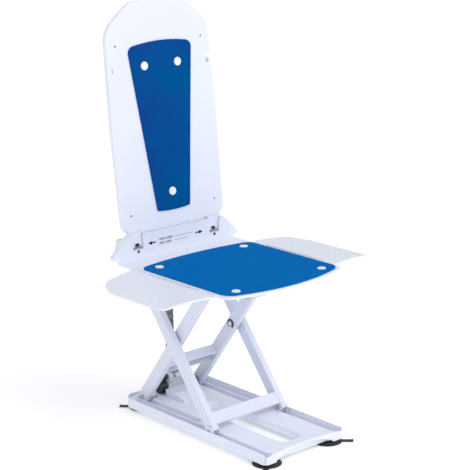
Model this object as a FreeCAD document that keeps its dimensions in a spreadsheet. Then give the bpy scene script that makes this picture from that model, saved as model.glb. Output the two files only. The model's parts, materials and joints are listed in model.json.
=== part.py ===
"""Powered bath lift: a seat on a scissor frame over a suction-footed base plate.

Millimetres, +Z up, the user's legs towards -Y, left side at -X.
The lift stands raised, and the origin lies on the floor below its middle.
"""
import math
import os

import FreeCAD, Part, Sketcher

# Driving dimensions. Heights are above the floor unless the name says otherwise.
SIZES = {
    # base plate
    "base_front": 294,
    "base_rear": 296,
    "base_front_round": 14,
    "base_rear_round": 34,
    "skirt_bottom": 9,
    "deck_top": 30,
    "deck_skin": 6,
    "rim_top": 36,
    "rim_wall": 3,
    "shoe_room": 1,
    "channel_room": 1.5,
    "channel_slack": 8,
    "inner_channel_front": 10,
    "lip_depth": 15,
    "lip_rise": 8.5,
    "lip_half_width": 120,
    "arch_half_width": 98,
    "arch_top": 33.5,
    "slot_half_width": 37,
    "slot_front": 250,
    "slot_rear": 106,
    "slot_round": 25,
    "channel_floor": 18,
    "rib_thickness": 3,
    "bay_count": 6,
    "bay_border": 10,
    "fin_thickness": 2.5,
    "fin_drop": 4,
    "fin_inset": 1.5,
    "fin_pitch": 18,
    "arch_foot": 4,
    "lip_end": 2,
    # suction cups
    "cup_radius": 38,
    "cup_spread_front": 105,
    "cup_spread_rear": 90,
    "cup_reach": 265,
    "cup_lip": 1.5,
    "cup_neck_radius": 9,
    "cup_neck_top": 14.5,
    "cup_room": 0.2,
    "tab_reach": 66.5,
    "tab_width": 14,
    "tab_thickness": 1.6,
    "tab_rise": 7,
    # scissor frame
    "arm_angle": 51.9,
    "arm_lower": 259.4,
    "arm_upper": 218.4,
    "arm_depth": 34,
    "arm_thickness": 18,
    "arm_end": 12,
    "arm_round": 11,
    "arm_edge": 2.5,
    "tube_wall": 2,
    "inner_face": 84.5,
    "arm_gap": 7,
    "foot_height": 38,
    "rear_pivot": 250,
    "pin_radius": 6,
    "pin_head": 1.6,
    "pin_head_radius": 7.5,
    "running_fit": 0.05,
    "side_gap": 0.5,
    "inner_bar_along": 34,
    "bar_wall": 2.5,
    "inner_bar_place": 130,
    "inner_bar_above": 16,
    "inner_bar_below": 14,
    "lower_bar_along": 34,
    "lower_bar_place": 24,
    "lower_bar_above": 15,
    "lower_bar_below": 5.5,
    "washer_radius": 12.5,
    "washer_thickness": 2,
    "bolt_stand": 2.5,
    # sliding shoes and their rails
    "shoe_length": 28,
    "shoe_height": 20,
    "shoe_thickness": 14,
    "lower_shoe_thickness": 4,
    "lower_shoe_above": 9,
    "rail_gap": 0.4,
    "rail_wall": 3,
    "rail_front": 232,
    "rail_slope_start": 166,
    "rail_slope_rise": 24,
    "rail_rear": 27,
    # brackets
    "bracket_thickness": 4,
    "bracket_half_length": 20,
    "rear_bracket_above": 15,
    "bracket_foot": 16,
    "bracket_foot_thickness": 3,
    # drive
    "drive_half_width": 26,
    "drive_front": 228,
    "drive_rear": 278,
    "drive_top": 80,
    "chain_place": 252,
    "chain_width": 20,
    "chain_depth": 16,
    "guide_height": 8,
    "guide_wall": 6,
    "motor_radius": 16,
    "motor_length": 42,
    "motor_height": 50,
    "gear_radius": 19,
    "gear_length": 20,
    "socket_radius": 8,
    "socket_bore": 5,
    "socket_length": 9,
    "socket_height": 60,
    "cover_half_width": 40,
    "cover_front": 146,
    "cover_height": 18,
    "anchor_height": 10,
    # seat plate and pad
    "pivot_drop": 23,
    "seat_thickness": 7,
    "seat_half_width": 195.5,
    "seat_front": 268,
    "seat_front_corner": 230,
    "seat_rear": 264,
    "seat_rear_corner": 212,
    "seat_rear_half": 160,
    "seat_round": 24,
    "seat_edge": 2.5,
    "pad_thickness": 4,
    "pad_half_width": 188,
    "pad_front": 262,
    "pad_front_corner": 224,
    "pad_rear": 143,
    "pad_rear_corner": 123,
    "pad_round": 25,
    "pad_edge": 1.2,
    "button_radius": 11.5,
    "button_gap": 0.5,
    "button_height": 3.4,
    "seat_button_side": 144,
    "seat_button_rear": 98,
    "seat_button_front": 207,
    # side flaps
    "flap_outer": 345,
    "flap_gap": 10.5,
    "flap_thickness": 5,
    "flap_droop": 10,
    "flap_flat": 255,
    "flap_front": 196,
    "flap_front_outer": 172,
    "flap_rear": 132,
    "flap_rear_outer": 84,
    "flap_rear_bend": 318,
    "flap_round": 22,
    "hinge_inset": 5.5,
    "hinge_radius": 4.5,
    "hinge_pin_radius": 2,
    "knuckle_length": 34,
    "knuckle_front": 152,
    "knuckle_rear": 76,
    "knuckle_gap": 0.5,
    # hinge block behind the seat
    "block_front": 204,
    "block_face_depth": 18,
    "block_rear": 262,
    "block_round": 12,
    "block_body_round": 8,
    "block_step_round": 5,
    "block_wall": 5,
    "block_wide": 214,
    "block_foot": 197,
    "block_foot_rise": 13,
    "block_top_half": 162,
    "block_wall_rise": 65,
    "block_body_half": 160,
    "block_body_wide": 168,
    "block_body_rise": 48,
    "block_hollow_half": 108,
    # backrest
    "back_lean": 5.2,
    "back_axis": 224,
    "back_axis_rise": 40,
    "back_face": 16,
    "back_thickness": 16,
    "back_bottom": 28,
    "back_half_bottom": 172,
    "back_half_middle": 176,
    "back_middle": 300,
    "back_half_shoulder": 170,
    "back_shoulder": 560,
    "back_half_crown": 85,
    "back_crown": 627,
    "back_top": 631,
    "back_round_bottom": 30,
    "back_round_shoulder": 70,
    "back_round_crown": 60,
    "back_edge": 4,
    "back_skin": 4,
    "back_hollow_half": 146,
    "back_hollow_low": 44,
    "back_hollow_high": 606,
    "back_hollow_round": 30,
    "back_rib": 3,
    "notch_inner": 152,
    "notch_outer": 163,
    "notch_low": 446,
    "notch_mouth": 457,
    "notch_high": 470,
    "slit_place": 157.5,
    "slit_width": 2.5,
    "slit_low": 451,
    "slit_high": 461,
    "plug_radius": 2.5,
    "plug_depth": 5,
    "plug_side_high": 141.5,
    "plug_high": 518.5,
    "plug_side_low": 142,
    "plug_low": 75,
    "lug_inner": 114,
    "lug_width": 32,
    "lug_gap": 1.2,
    "lug_depth": 20,
    "lug_below": 12,
    "lug_drop_room": 4,
    "lug_round": 8,
    "gusset_depth": 8,
    "lug_overlap": 6,
    "lug_flare": 14,
    "lug_flare_start": 2,
    "back_pin_radius": 4,
    "back_pad_thickness": 5,
    "back_pad_half_top": 108,
    "back_pad_corner": 510,
    "back_pad_top": 521,
    "back_pad_half_low": 55,
    "back_pad_low_corner": 73,
    "back_pad_low": 69,
    "back_pad_round_top": 18,
    "back_pad_round_low": 6,
    "back_button_side": 55,
    "back_button_high": 459,
    "back_button_low": 119,
    # latch buttons in the backrest lugs
    "latch_width": 13,
    "latch_height": 8,
    "latch_depth": 5.4,
    "latch_stand": 2,
    "latch_travel": 2,
    "latch_drop": 5,
    "latch_gap": 0.3,
}

doc = FreeCAD.newDocument("bath_lift")
sheet = doc.addObject("Spreadsheet::Sheet", "sizes")
for row, (alias, size) in enumerate(SIZES.items(), start=1):
    sheet.set(f"A{row}", alias)
    sheet.set(f"B{row}", str(size))
    sheet.setAlias(f"B{row}", alias)
doc.recompute()


class Dim:
    """A length that keeps both its number and the expression that gives it on the sheet."""

    def __init__(self, value, text):
        self.value = float(value)
        self.text = text

    def __add__(self, other):
        other = dim(other)
        return Dim(self.value + other.value, f"({self.text} + {other.text})")

    def __sub__(self, other):
        other = dim(other)
        return Dim(self.value - other.value, f"({self.text} - {other.text})")

    def __mul__(self, other):
        other = dim(other)
        return Dim(self.value * other.value, f"({self.text} * {other.text})")

    def __truediv__(self, other):
        other = dim(other)
        return Dim(self.value / other.value, f"({self.text} / {other.text})")

    def __neg__(self):
        return Dim(-self.value, f"(0 - {self.text})")


def dim(number):
    """Give any plain number or Dim as a Dim."""
    return number if isinstance(number, Dim) else Dim(number, repr(float(number)))


def size(alias):
    """Read one driving dimension."""
    return Dim(SIZES[alias], f"sizes.{alias}")


def sine(angle):
    return Dim(math.sin(math.radians(angle.value)), f"sin({angle.text})")


def cosine(angle):
    return Dim(math.cos(math.radians(angle.value)), f"cos({angle.text})")


def bind(obj, path, value):
    """Tie one property of an object to the sheet."""
    obj.setExpression(path, dim(value).text)


def place(obj, x=0, y=0, z=0, turn=None):
    """Place an object, with its turn about X in degrees where it has one."""
    if turn is not None:
        obj.Placement.Rotation = FreeCAD.Rotation(FreeCAD.Vector(1, 0, 0), turn.value)
        obj.setExpression("Placement.Rotation.Angle", f"{turn.text} * 1 deg")
    for axis, value in zip("xyz", (x, y, z)):
        bind(obj, f"Placement.Base.{axis}", value)
    return obj


def box(name, x, y, z):
    """Make a box from its (low, high) pairs along X, Y and Z."""
    obj = doc.addObject("Part::Box", name)
    for prop, (low, high) in zip(("Length", "Width", "Height"), (x, y, z)):
        bind(obj, prop, dim(high) - low)
    return place(obj, x[0], y[0], z[0])


TURN_TO = {"x": ((0, 1, 0), 90), "y": ((1, 0, 0), -90), "z": ((0, 0, 1), 0)}


def rod(name, axis, start, radius, length):
    """Make a cylinder from the middle of its first end, along one axis."""
    obj = doc.addObject("Part::Cylinder", name)
    bind(obj, "Radius", radius)
    bind(obj, "Height", length)
    line, turn = TURN_TO[axis]
    obj.Placement.Rotation = FreeCAD.Rotation(FreeCAD.Vector(*line), turn)
    return place(obj, *start)


def taper(name, start, low_radius, high_radius, height):
    """Make an upright cone frustum."""
    obj = doc.addObject("Part::Cone", name)
    bind(obj, "Radius1", low_radius)
    bind(obj, "Radius2", high_radius)
    bind(obj, "Height", height)
    return place(obj, *start)


def fuse(name, *pieces):
    obj = doc.addObject("Part::MultiFuse", name)
    obj.Shapes = list(pieces)
    return obj


def group(name, *pieces):
    """Keep alike pieces as separate solids of one sub-part."""
    obj = doc.addObject("Part::Compound", name)
    obj.Links = list(pieces)
    return obj


def cut(name, base, *tools):
    obj = doc.addObject("Part::Cut", name)
    obj.Base = base
    obj.Tool = tools[0] if len(tools) == 1 else fuse(name + "_tools", *tools)
    return obj


def common(name, first, second):
    obj = doc.addObject("Part::Common", name)
    obj.Base = first
    obj.Tool = second
    return obj


def mirror(name, source):
    """Copy a right-hand piece to the left side."""
    obj = doc.addObject("Part::Mirroring", name)
    obj.Source = source
    obj.Normal = FreeCAD.Vector(1, 0, 0)
    return obj


def fix_point(sketch, place_id, u, v):
    """Hold one sketch point at its two sheet-driven coordinates."""
    for kind, axis_id, value in (("DistanceX", -2, u), ("DistanceY", -1, v)):
        if value.text == "0.0":
            sketch.addConstraint(Sketcher.Constraint("PointOnObject", *place_id, axis_id))
            continue
        index = sketch.addConstraint(Sketcher.Constraint(kind, -1, 1, *place_id, value.value))
        sketch.setExpression(f"Constraints[{index}]", value.text)


def draw(sketch, path):
    """Draw a closed outline. A path item is (u, v), or (u, v, "via") for a point on an arc."""
    points = [item for item in path if len(item) == 2]
    ends = [(dim(u), dim(v)) for u, v in points]
    vias = {}
    for item in path:
        if len(item) == 3:
            vias[seen - 1] = (dim(item[0]), dim(item[1]))
        else:
            seen = points.index(item) + 1
    for index, (u, v) in enumerate(ends):
        first = FreeCAD.Vector(u.value, v.value, 0)
        after = ends[(index + 1) % len(ends)]
        last = FreeCAD.Vector(after[0].value, after[1].value, 0)
        if index in vias:
            middle = FreeCAD.Vector(vias[index][0].value, vias[index][1].value, 0)
            sketch.addGeometry(Part.Arc(first, middle, last), False)
        else:
            sketch.addGeometry(Part.LineSegment(first, last), False)
    corner_ids = []
    for index in range(len(ends)):
        before = (index - 1) % len(ends)
        corner_ids.append((before, end_of(sketch, before, ends[index])))
        here = (index, end_of(sketch, index, ends[index]))
        sketch.addConstraint(Sketcher.Constraint("Coincident", *corner_ids[-1], *here))
        fix_point(sketch, here, *ends[index])
    for index, (u, v) in vias.items():
        mark = sketch.addGeometry(Part.Point(FreeCAD.Vector(u.value, v.value, 0)), True)
        sketch.addConstraint(Sketcher.Constraint("PointOnObject", mark, 1, index))
        fix_point(sketch, (mark, 1), u, v)
    return ends


def end_of(sketch, index, corner):
    """Tell which end of a drawn edge lies at a corner: an arc may run either way round."""
    at = FreeCAD.Vector(corner[0].value, corner[1].value, 0)
    start = sketch.getPoint(index, 1)
    return 1 if (start - at).Length < 1e-6 else 2


PLANES = {
    "XY": ("XY_Plane", lambda u, v, w: (u, v)),
    "XZ": ("XZ_Plane", lambda u, v, w: (u, w)),
    "YZ": ("YZ_Plane", lambda u, v, w: (v, w)),
}


def prism(name, plane, path, start, depth, rounds=(), edge=None):
    """Pad an outline drawn on an origin plane, from start to start + depth along its third axis.

    rounds gives (radius, corner numbers) for the upright corners and edge rounds the rest.
    """
    body = doc.addObject("PartDesign::Body", name)
    sketch = body.newObject("Sketcher::SketchObject", name + "_outline")
    role, flat = PLANES[plane]
    origin = [part for part in body.Origin.OriginFeatures if part.Role == role][0]
    sketch.AttachmentSupport = [(origin, "")]
    sketch.MapMode = "FlatFace"
    start, depth = dim(start), dim(depth)
    offset = -(start + depth) if plane == "XZ" else start
    bind(sketch, "AttachmentOffset.Base.z", offset)
    corners = draw(sketch, path)
    pad = body.newObject("PartDesign::Pad", name + "_pad")
    pad.Profile = sketch
    bind(pad, "Length", depth)
    doc.recompute()
    last = pad
    for number, (radius, wanted) in enumerate(rounds):
        spots = [(corners[index][0].value, corners[index][1].value) for index in wanted]
        names = []
        for index, line in enumerate(last.Shape.Edges, start=1):
            ends = [flat(*vertex.Point) for vertex in line.Vertexes]
            if len(ends) == 2 and math.dist(*ends) < 1e-6:
                if any(math.dist(ends[0], spot) < 1e-3 for spot in spots):
                    names.append(f"Edge{index}")
        last = rounding(body, last, f"{name}_round{number}", names, radius)
    if edge is not None:
        names = []
        for index, line in enumerate(last.Shape.Edges, start=1):
            ends = [flat(*vertex.Point) for vertex in line.Vertexes]
            if len(ends) < 2 or math.dist(*ends) > 1e-6:
                names.append(f"Edge{index}")
        last = rounding(body, last, name + "_edges", names, edge)
    return body


def rounding(body, base, name, names, radius):
    """Round the named edges of a body's last feature."""
    if not names:
        raise RuntimeError(f"{name}: no edge found to round")
    fillet = body.newObject("PartDesign::Fillet", name)
    fillet.Base = (base, names)
    bind(fillet, "Radius", radius)
    doc.recompute()
    return fillet


def rectangle(u_low, u_high, v_low, v_high):
    return [(u_low, v_low), (u_high, v_low), (u_high, v_high), (u_low, v_high)]


PARTS = []


def finish(node, obj):
    """Give a finished sub-part its name."""
    obj.Label = node
    PARTS.append((node, obj))
    return obj


# Derived places ------------------------------------------------------------------------------
angle = size("arm_angle")
arm_length = size("arm_lower") + size("arm_upper")
foot_height = size("foot_height")
half_depth = size("arm_depth") / 2
rear_pivot = size("rear_pivot")
front_foot = rear_pivot - size("arm_lower") * 2 * cosine(angle)
middle_pivot = rear_pivot - size("arm_lower") * cosine(angle)
middle_height = foot_height + size("arm_lower") * sine(angle)
upper_height = foot_height + arm_length * sine(angle)
top_pivot = middle_pivot + size("arm_upper") * cosine(angle)
upper_shoe_place = middle_pivot - size("arm_upper") * cosine(angle)
inner_face = size("inner_face")
inner_outside = inner_face + size("arm_thickness")
outer_face = inner_outside + size("arm_gap")
outer_outside = outer_face + size("arm_thickness")
seat_bottom = upper_height + size("pivot_drop")
seat_top = seat_bottom + size("seat_thickness")
deck_top = size("deck_top")
drive_middle = size("chain_place")
base_half = (outer_outside + size("side_gap") + size("lower_shoe_thickness")
             + size("shoe_room") + size("rim_wall"))
FINS_A_SIDE = 5


# Base ----------------------------------------------------------------------------------------
def base_plate():
    """Moulded plate: a rim round three sides, four channels for the arms, a long slot."""
    front, rear = -size("base_front"), size("base_rear")
    wall = size("rim_wall")
    skirt = size("skirt_bottom")
    block = prism("base_block", "XY", rectangle(-base_half, base_half, front, rear), skirt,
                  size("rim_top") - skirt,
                  rounds=[(size("base_front_round"), (0, 1)), (size("base_rear_round"), (2, 3))])
    well = prism("base_well", "XY",
                 rectangle(-(base_half - wall), base_half - wall, front - 1, rear - wall),
                 deck_top, size("rim_top") - deck_top + 1,
                 rounds=[(size("base_rear_round") - wall, (2, 3))])
    lip_half, lip_low = size("lip_half_width"), deck_top + size("lip_end")
    lip = prism("base_lip", "XZ",
                [(-lip_half, deck_top), (lip_half, deck_top), (lip_half, lip_low),
                 (0, deck_top + size("lip_rise"), "via"), (-lip_half, lip_low)],
                front, size("lip_depth"))
    body = cut("base_ribbed", fuse("base_solid", cut("base_dished", block, well), lip),
               *base_bays())
    slot_wall = slot_block("base_slot_wall", size("rib_thickness"), skirt, deck_top)
    tools = [slot_block("base_slot", 0, skirt - 1, deck_top + 1), *base_channels()]
    for name, x, y in cup_places():
        tools.append(rod(f"base_seat_{name}", "z", (x, y, skirt - 1),
                         size("cup_neck_radius") + size("cup_room"),
                         size("cup_neck_top") - skirt + 1.5))
    arch_half, arch_low = size("arch_half_width"), skirt + size("arch_foot")
    arch = prism("base_arch", "XZ",
                 [(-arch_half, skirt - 1), (arch_half, skirt - 1), (arch_half, arch_low),
                  (0, size("arch_top"), "via"), (-arch_half, arch_low)],
                 front - 1, size("lip_depth") + 2)
    shell = cut("base_shell", fuse("base_walled", body, slot_wall), *tools, arch)
    return finish("base_plate", fuse("base_finned", shell, *base_fins()))


def slot_block(name, grow, low, high):
    """Upright block of the long slot's outline, grown all round."""
    half = size("slot_half_width") + grow
    return prism(name, "XY",
                 rectangle(-half, half, -(size("slot_front") + grow), size("slot_rear") + grow),
                 low, high - low, rounds=[(size("slot_round") + grow, (0, 1, 2, 3))])


def base_channels():
    """Lengthwise grooves that the arms' feet and shoes run in."""
    outer = (outer_face - size("channel_room"), base_half - size("rim_wall"))
    inner = (inner_face - 1, inner_outside + size("channel_room"))
    outer_run = (size("rim_wall") - size("base_front"), size("base_rear") - size("base_rear_round"))
    inner_run = (size("inner_channel_front"), rear_pivot + half_depth + size("channel_slack"))
    z = (size("channel_floor"), deck_top + size("lip_rise") + 1)
    channels = []
    for kind, (low, high), run in (("outer", outer, outer_run), ("inner", inner, inner_run)):
        channels.append(box(f"base_{kind}_channel_left", (-high, -low), run, z))
        channels.append(box(f"base_{kind}_channel_right", (low, high), run, z))
    return channels


def base_bays():
    """Hollows between the crosswise ribs under the deck."""
    half = inner_face - size("bracket_thickness")
    front = size("lip_depth") - size("base_front")
    rear = size("base_rear") - size("rim_wall") - size("bay_border")
    step = (rear - front) / SIZES["bay_count"]
    return [box(f"base_bay{number}", (-half, half),
                (front + step * number + size("rib_thickness"), front + step * (number + 1)),
                (size("skirt_bottom") - 1, deck_top - size("deck_skin")))
            for number in range(SIZES["bay_count"])]


def base_fins():
    """Short lengthwise fins that hang below the front arch."""
    run = (size("fin_inset") - size("base_front"), size("lip_depth") - size("base_front") + 1)
    fall = size("arch_top") - size("skirt_bottom") - size("arch_foot")
    fins = []
    for number in range(FINS_A_SIDE):
        x = size("fin_pitch") * (number + 0.5)
        share = x / size("arch_half_width")
        crown = size("arch_top") - fall * share * share
        fin = box(f"base_fin{number}", (x, x + size("fin_thickness")), run,
                  (crown - size("fin_drop"), crown + 1))
        fins += [fin, mirror(f"base_fin{number}_mirrored", fin)]
    return fins


def cup_places():
    """Name and middle of each suction cup."""
    reach = size("cup_reach")
    front, rear = size("cup_spread_front"), size("cup_spread_rear")
    return [("front_left", -front, -reach), ("front_right", front, -reach),
            ("rear_left", -rear, reach), ("rear_right", rear, reach)]


def suction_cup(name, x, y):
    """Rubber cup with a neck into the base plate and a release tab at its outer corner."""
    lip = size("cup_lip")
    radius = size("cup_radius")
    skirt = size("skirt_bottom")
    neck = size("cup_neck_radius")
    rim = rod(f"cup_{name}_rim", "z", (x, y, 0), radius, lip)
    dome = taper(f"cup_{name}_dome", (x, y, lip), radius, neck + 6, skirt - lip)
    stem = rod(f"cup_{name}_stem", "z", (x, y, lip), neck, size("cup_neck_top") - lip)
    inset = radius - 3
    run = size("tab_reach") - inset
    tab = prism(f"cup_{name}_tab", "XZ",
                [(inset, 0.4), (inset + run, size("tab_rise")),
                 (inset + run, size("tab_rise") + size("tab_thickness")),
                 (inset, size("tab_thickness") + 0.4)],
                -(size("tab_width") / 2), size("tab_width"))
    turn = math.degrees(math.atan2(1 if y.value > 0 else -1, 1 if x.value > 0 else -1))
    tab.Placement.Rotation = FreeCAD.Rotation(FreeCAD.Vector(0, 0, 1), turn)
    place(tab, x, y, 0)
    hollow = taper(f"cup_{name}_hollow", (x, y, 0), radius - 8, neck, 5)
    return finish(f"suction_cup_{name}",
                  cut(f"cup_{name}", fuse(f"cup_{name}_solid", rim, dome, stem, tab), hollow))


def rear_bracket():
    """Upright plate on the deck beside the inner arm's foot, with a screw flange."""
    outside = inner_face - size("side_gap")
    inside = outside - size("bracket_thickness")
    half = size("bracket_half_length")
    top = foot_height + size("rear_bracket_above")
    plate = prism("rear_plate", "YZ",
                  rectangle(rear_pivot - half, rear_pivot + half, deck_top, top),
                  inside, size("bracket_thickness"), rounds=[(half * 0.7, (2, 3))])
    clear = size("pin_head_radius") + 1
    ears = [box(f"rear_ear_{mark}", (inside - size("bracket_foot"), inside + 1), span,
                (deck_top, deck_top + size("bracket_foot_thickness")))
            for mark, span in (("front", (rear_pivot - half, rear_pivot - clear)),
                               ("rear", (rear_pivot + clear, rear_pivot + half)))]
    bore = rod("rear_bore", "x", (inside - 1, rear_pivot, foot_height), size("pin_radius"),
               size("bracket_thickness") + 2)
    right = finish("rear_bracket_right",
                   cut("rear_bracket", fuse("rear_bracket_solid", plate, *ears), bore))
    finish("rear_bracket_left", mirror("rear_bracket_mirrored", right))


def rear_pins():
    """Headed pins that the inner arms turn on, fixed in the brackets."""
    inside = inner_face - size("side_gap") - size("bracket_thickness")
    thick = size("pin_head")
    head = rod("rear_pin_head", "x", (inside - thick, rear_pivot, foot_height),
               size("pin_head_radius"), thick)
    shank = rod("rear_pin_shank", "x", (inside, rear_pivot, foot_height), size("pin_radius"),
                inner_outside + 2 - inside)
    right = finish("rear_pin_right", fuse("rear_pin", head, shank))
    finish("rear_pin_left", mirror("rear_pin_mirrored", right))


def drive():
    """Chain drive on the rear of the deck: housing, guide, motor, gear cover, socket, cover."""
    half = size("drive_half_width")
    front, rear, top = size("drive_front"), size("drive_rear"), size("drive_top")
    finish("drive_housing",
           prism("drive_box", "YZ",
                 [(front, deck_top), (rear, deck_top), (rear, top - 10), (rear - 10, top),
                  (front + 6, top), (front, top - 6)], -half, half * 2, edge=2))
    chain_x, chain_y = size("chain_width") / 2, size("chain_depth") / 2
    wall = size("guide_wall")
    gap = 0.5
    frame = box("guide_frame", (-(chain_x + wall), chain_x + wall),
                (drive_middle - chain_y - wall, drive_middle + chain_y + wall),
                (top, top + size("guide_height")))
    eye = box("guide_eye", (-(chain_x + gap), chain_x + gap),
              (drive_middle - chain_y - gap, drive_middle + chain_y + gap),
              (top - 1, top + size("guide_height") + 1))
    finish("chain_guide", cut("guide", frame, eye))
    finish("push_chain", box("chain", (-chain_x, chain_x),
                             (drive_middle - chain_y, drive_middle + chain_y),
                             (top, seat_bottom - size("anchor_height"))))
    can = rod("motor_can", "x", (half, drive_middle, size("motor_height")),
              size("motor_radius"), size("motor_length") - 6)
    nose = rod("motor_nose", "x", (half, drive_middle, size("motor_height")),
               size("motor_radius") - 5, size("motor_length"))
    finish("drive_motor", fuse("motor", can, nose))
    finish("gear_cover", rod("gear_case", "x", (-(half + size("gear_length")), drive_middle,
                                                size("motor_height")),
                             size("gear_radius"), size("gear_length")))
    ring = rod("socket_ring", "y", (0, rear, size("socket_height")), size("socket_radius"),
               size("socket_length"))
    well = rod("socket_well", "y", (0, rear + 2, size("socket_height")), size("socket_bore"),
               size("socket_length"))
    finish("handset_socket", cut("socket", ring, well))
    cover_half, cover_top = size("cover_half_width"), deck_top + size("cover_height")
    cover_front = size("cover_front")
    finish("drive_cover",
           prism("cover", "YZ",
                 [(cover_front, deck_top), (front, deck_top), (front, cover_top),
                  (cover_front + 34, cover_top), (cover_front, deck_top + 4)],
                 -cover_half, cover_half * 2, edge=1.5))


# Scissor frame -------------------------------------------------------------------------------
def arm_blank(name, start):
    """Flat tube along +Y from its foot pivot, closed at both ends and round its three pivots."""
    end, depth = size("arm_end"), half_depth
    thickness, wall = size("arm_thickness"), size("tube_wall")
    bar = prism(f"{name}_bar", "YZ", rectangle(-end, arm_length + end, -depth, depth), start,
                thickness, rounds=[(size("arm_round"), (0, 1, 2, 3))], edge=size("arm_edge"))
    hollows = []
    for mark, low, high in (("low", dim(0), size("arm_lower")),
                            ("high", size("arm_lower"), arm_length)):
        hollows.append(box(f"{name}_hollow_{mark}", (start + wall, start + thickness - wall),
                           (low + 26, high - 26), (-(depth - wall), depth - wall)))
    return bar, hollows


def inner_arm():
    """Arm from the rear bracket up to the front of the seat."""
    bar, tools = arm_blank("inner_arm", inner_face)
    thickness, fit = size("arm_thickness"), size("running_fit")
    pin = size("pin_radius")
    for mark, along, radius in (("foot", dim(0), pin + fit), ("middle", size("arm_lower"), pin),
                                ("top", arm_length, pin)):
        tools.append(rod(f"inner_bore_{mark}", "x", (inner_face - 1, along, 0), radius,
                         thickness + 2))
    right = cut("inner_arm_cut", bar, *tools)
    place(right, 0, rear_pivot, foot_height, turn=dim(180) - angle)
    finish("inner_arm_right", right)
    finish("inner_arm_left", mirror("inner_arm_mirrored", right))


def outer_arm():
    """Arm from the front shoe up to the rear of the seat. Its outer face is closed."""
    bar, tools = arm_blank("outer_arm", outer_face)
    thickness = size("arm_thickness")
    running = size("pin_radius") + size("running_fit")
    for mark, along, radius, reach in (
            ("foot", dim(0), size("pin_radius"), thickness + 2),
            ("middle", size("arm_lower"), running, thickness - size("tube_wall") + 1),
            ("top", arm_length, running, thickness + 2)):
        tools.append(rod(f"outer_bore_{mark}", "x", (outer_face - 1, along, 0), radius, reach))
    right = cut("outer_arm_cut", bar, *tools)
    place(right, 0, front_foot, foot_height, turn=angle)
    finish("outer_arm_right", right)
    finish("outer_arm_left", mirror("outer_arm_mirrored", right))


def crossbar(node, half_span, along, place_along, low, high, open_high, y, turn):
    """Channel section between two arms, drawn along +Y like them and turned with them."""
    wall = size("bar_wall")
    along = along / 2
    block = prism(f"{node}_block", "YZ",
                  rectangle(place_along - along, place_along + along, low, high),
                  -half_span, half_span * 2, rounds=[(size("bar_wall"), (0, 1, 2, 3))])
    hollow_z = (low + wall, high + 1) if open_high else (low - 1, high - wall)
    hollow = box(f"{node}_hollow", (-(half_span + 1), half_span + 1),
                 (place_along - along + wall, place_along + along - wall), hollow_z)
    bar = cut(f"{node}_channel", block, hollow)
    place(bar, 0, y, foot_height, turn=turn)
    finish(node, bar)


def frame_bars():
    crossbar("inner_crossbar", inner_face, size("inner_bar_along"), size("inner_bar_place"),
             -size("inner_bar_above"), size("inner_bar_below"), True, rear_pivot,
             dim(180) - angle)
    crossbar("lower_crossbar", outer_face, size("lower_bar_along"), size("lower_bar_place"),
             -size("lower_bar_below"), size("lower_bar_above"), False, front_foot, angle)
    start = inner_face - size("side_gap") - size("shoe_thickness")
    right = finish("upper_pin_right",
                   rod("upper_pin", "x", (start, upper_shoe_place, upper_height),
                       size("pin_radius"), inner_outside - 1 - start))
    finish("upper_pin_left", mirror("upper_pin_mirrored", right))


def middle_pivots():
    """Bolt, black retaining washer and spacer where each pair of arms crosses."""
    at = (middle_pivot, middle_height)
    washer = size("washer_thickness")
    start = inner_face - washer - size("bolt_stand")
    bolt = rod("bolt_shank", "x", (start, *at), size("pin_radius"),
               outer_outside - size("tube_wall") - start - 0.5)
    right = finish("pivot_bolt_right", bolt)
    finish("pivot_bolt_left", mirror("pivot_bolt_mirrored", right))
    for name, low, thick in (
            ("retaining_washer", inner_face - washer, washer),
            ("arm_spacer", inner_outside, size("arm_gap") - size("side_gap"))):
        disc = rod(f"{name}_disc", "x", (low, *at), size("washer_radius"), thick)
        bore = rod(f"{name}_bore", "x", (low - 1, *at), size("pin_radius"), thick + 2)
        ring = cut(f"{name}_ring", disc, bore)
        finish(f"{name}s", group(f"{name}_pair", ring, mirror(f"{name}_mirrored", ring)))


def foot_pins():
    """Pins through the feet of the outer arms into the lower shoes."""
    start = outer_face - size("pin_head")
    right = finish("foot_pin_right",
                   rod("foot_pin", "x", (start, front_foot, foot_height), size("pin_radius"),
                       outer_outside + size("side_gap") + size("lower_shoe_thickness") - start))
    finish("foot_pin_left", mirror("foot_pin_mirrored", right))


def shoes():
    """Sliding shoes: the lower pair run in the base channels, the upper pair in the rails."""
    half = size("shoe_length") / 2
    running = size("pin_radius") + size("running_fit")
    gap = size("side_gap")
    low_x = outer_outside + gap
    block = prism("lower_shoe_block", "YZ",
                  rectangle(front_foot - half, front_foot + half,
                            size("channel_floor") + gap, foot_height + size("lower_shoe_above")),
                  low_x, size("lower_shoe_thickness"),
                  rounds=[(size("lower_shoe_above") - 1, (2, 3))])
    bore = rod("lower_shoe_bore", "x", (low_x - 1, front_foot, foot_height), running,
               size("lower_shoe_thickness") + 2)
    lower = finish("lower_shoe_right", cut("lower_shoe", block, bore))
    finish("lower_shoe_left", mirror("lower_shoe_mirrored", lower))
    thick, tall = size("shoe_thickness"), size("shoe_height") / 2
    high_x = inner_face - gap - thick
    block = prism("upper_shoe_block", "YZ",
                  rectangle(upper_shoe_place - half, upper_shoe_place + half,
                            upper_height - tall, upper_height + tall), high_x, thick,
                  rounds=[(dim(3), (0, 1, 2, 3))])
    bore = rod("upper_shoe_bore", "x", (high_x - 1, upper_shoe_place, upper_height), running,
               thick + 2)
    upper = finish("upper_shoe_right", cut("upper_shoe", block, bore))
    finish("upper_shoe_left", mirror("upper_shoe_mirrored", upper))


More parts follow.
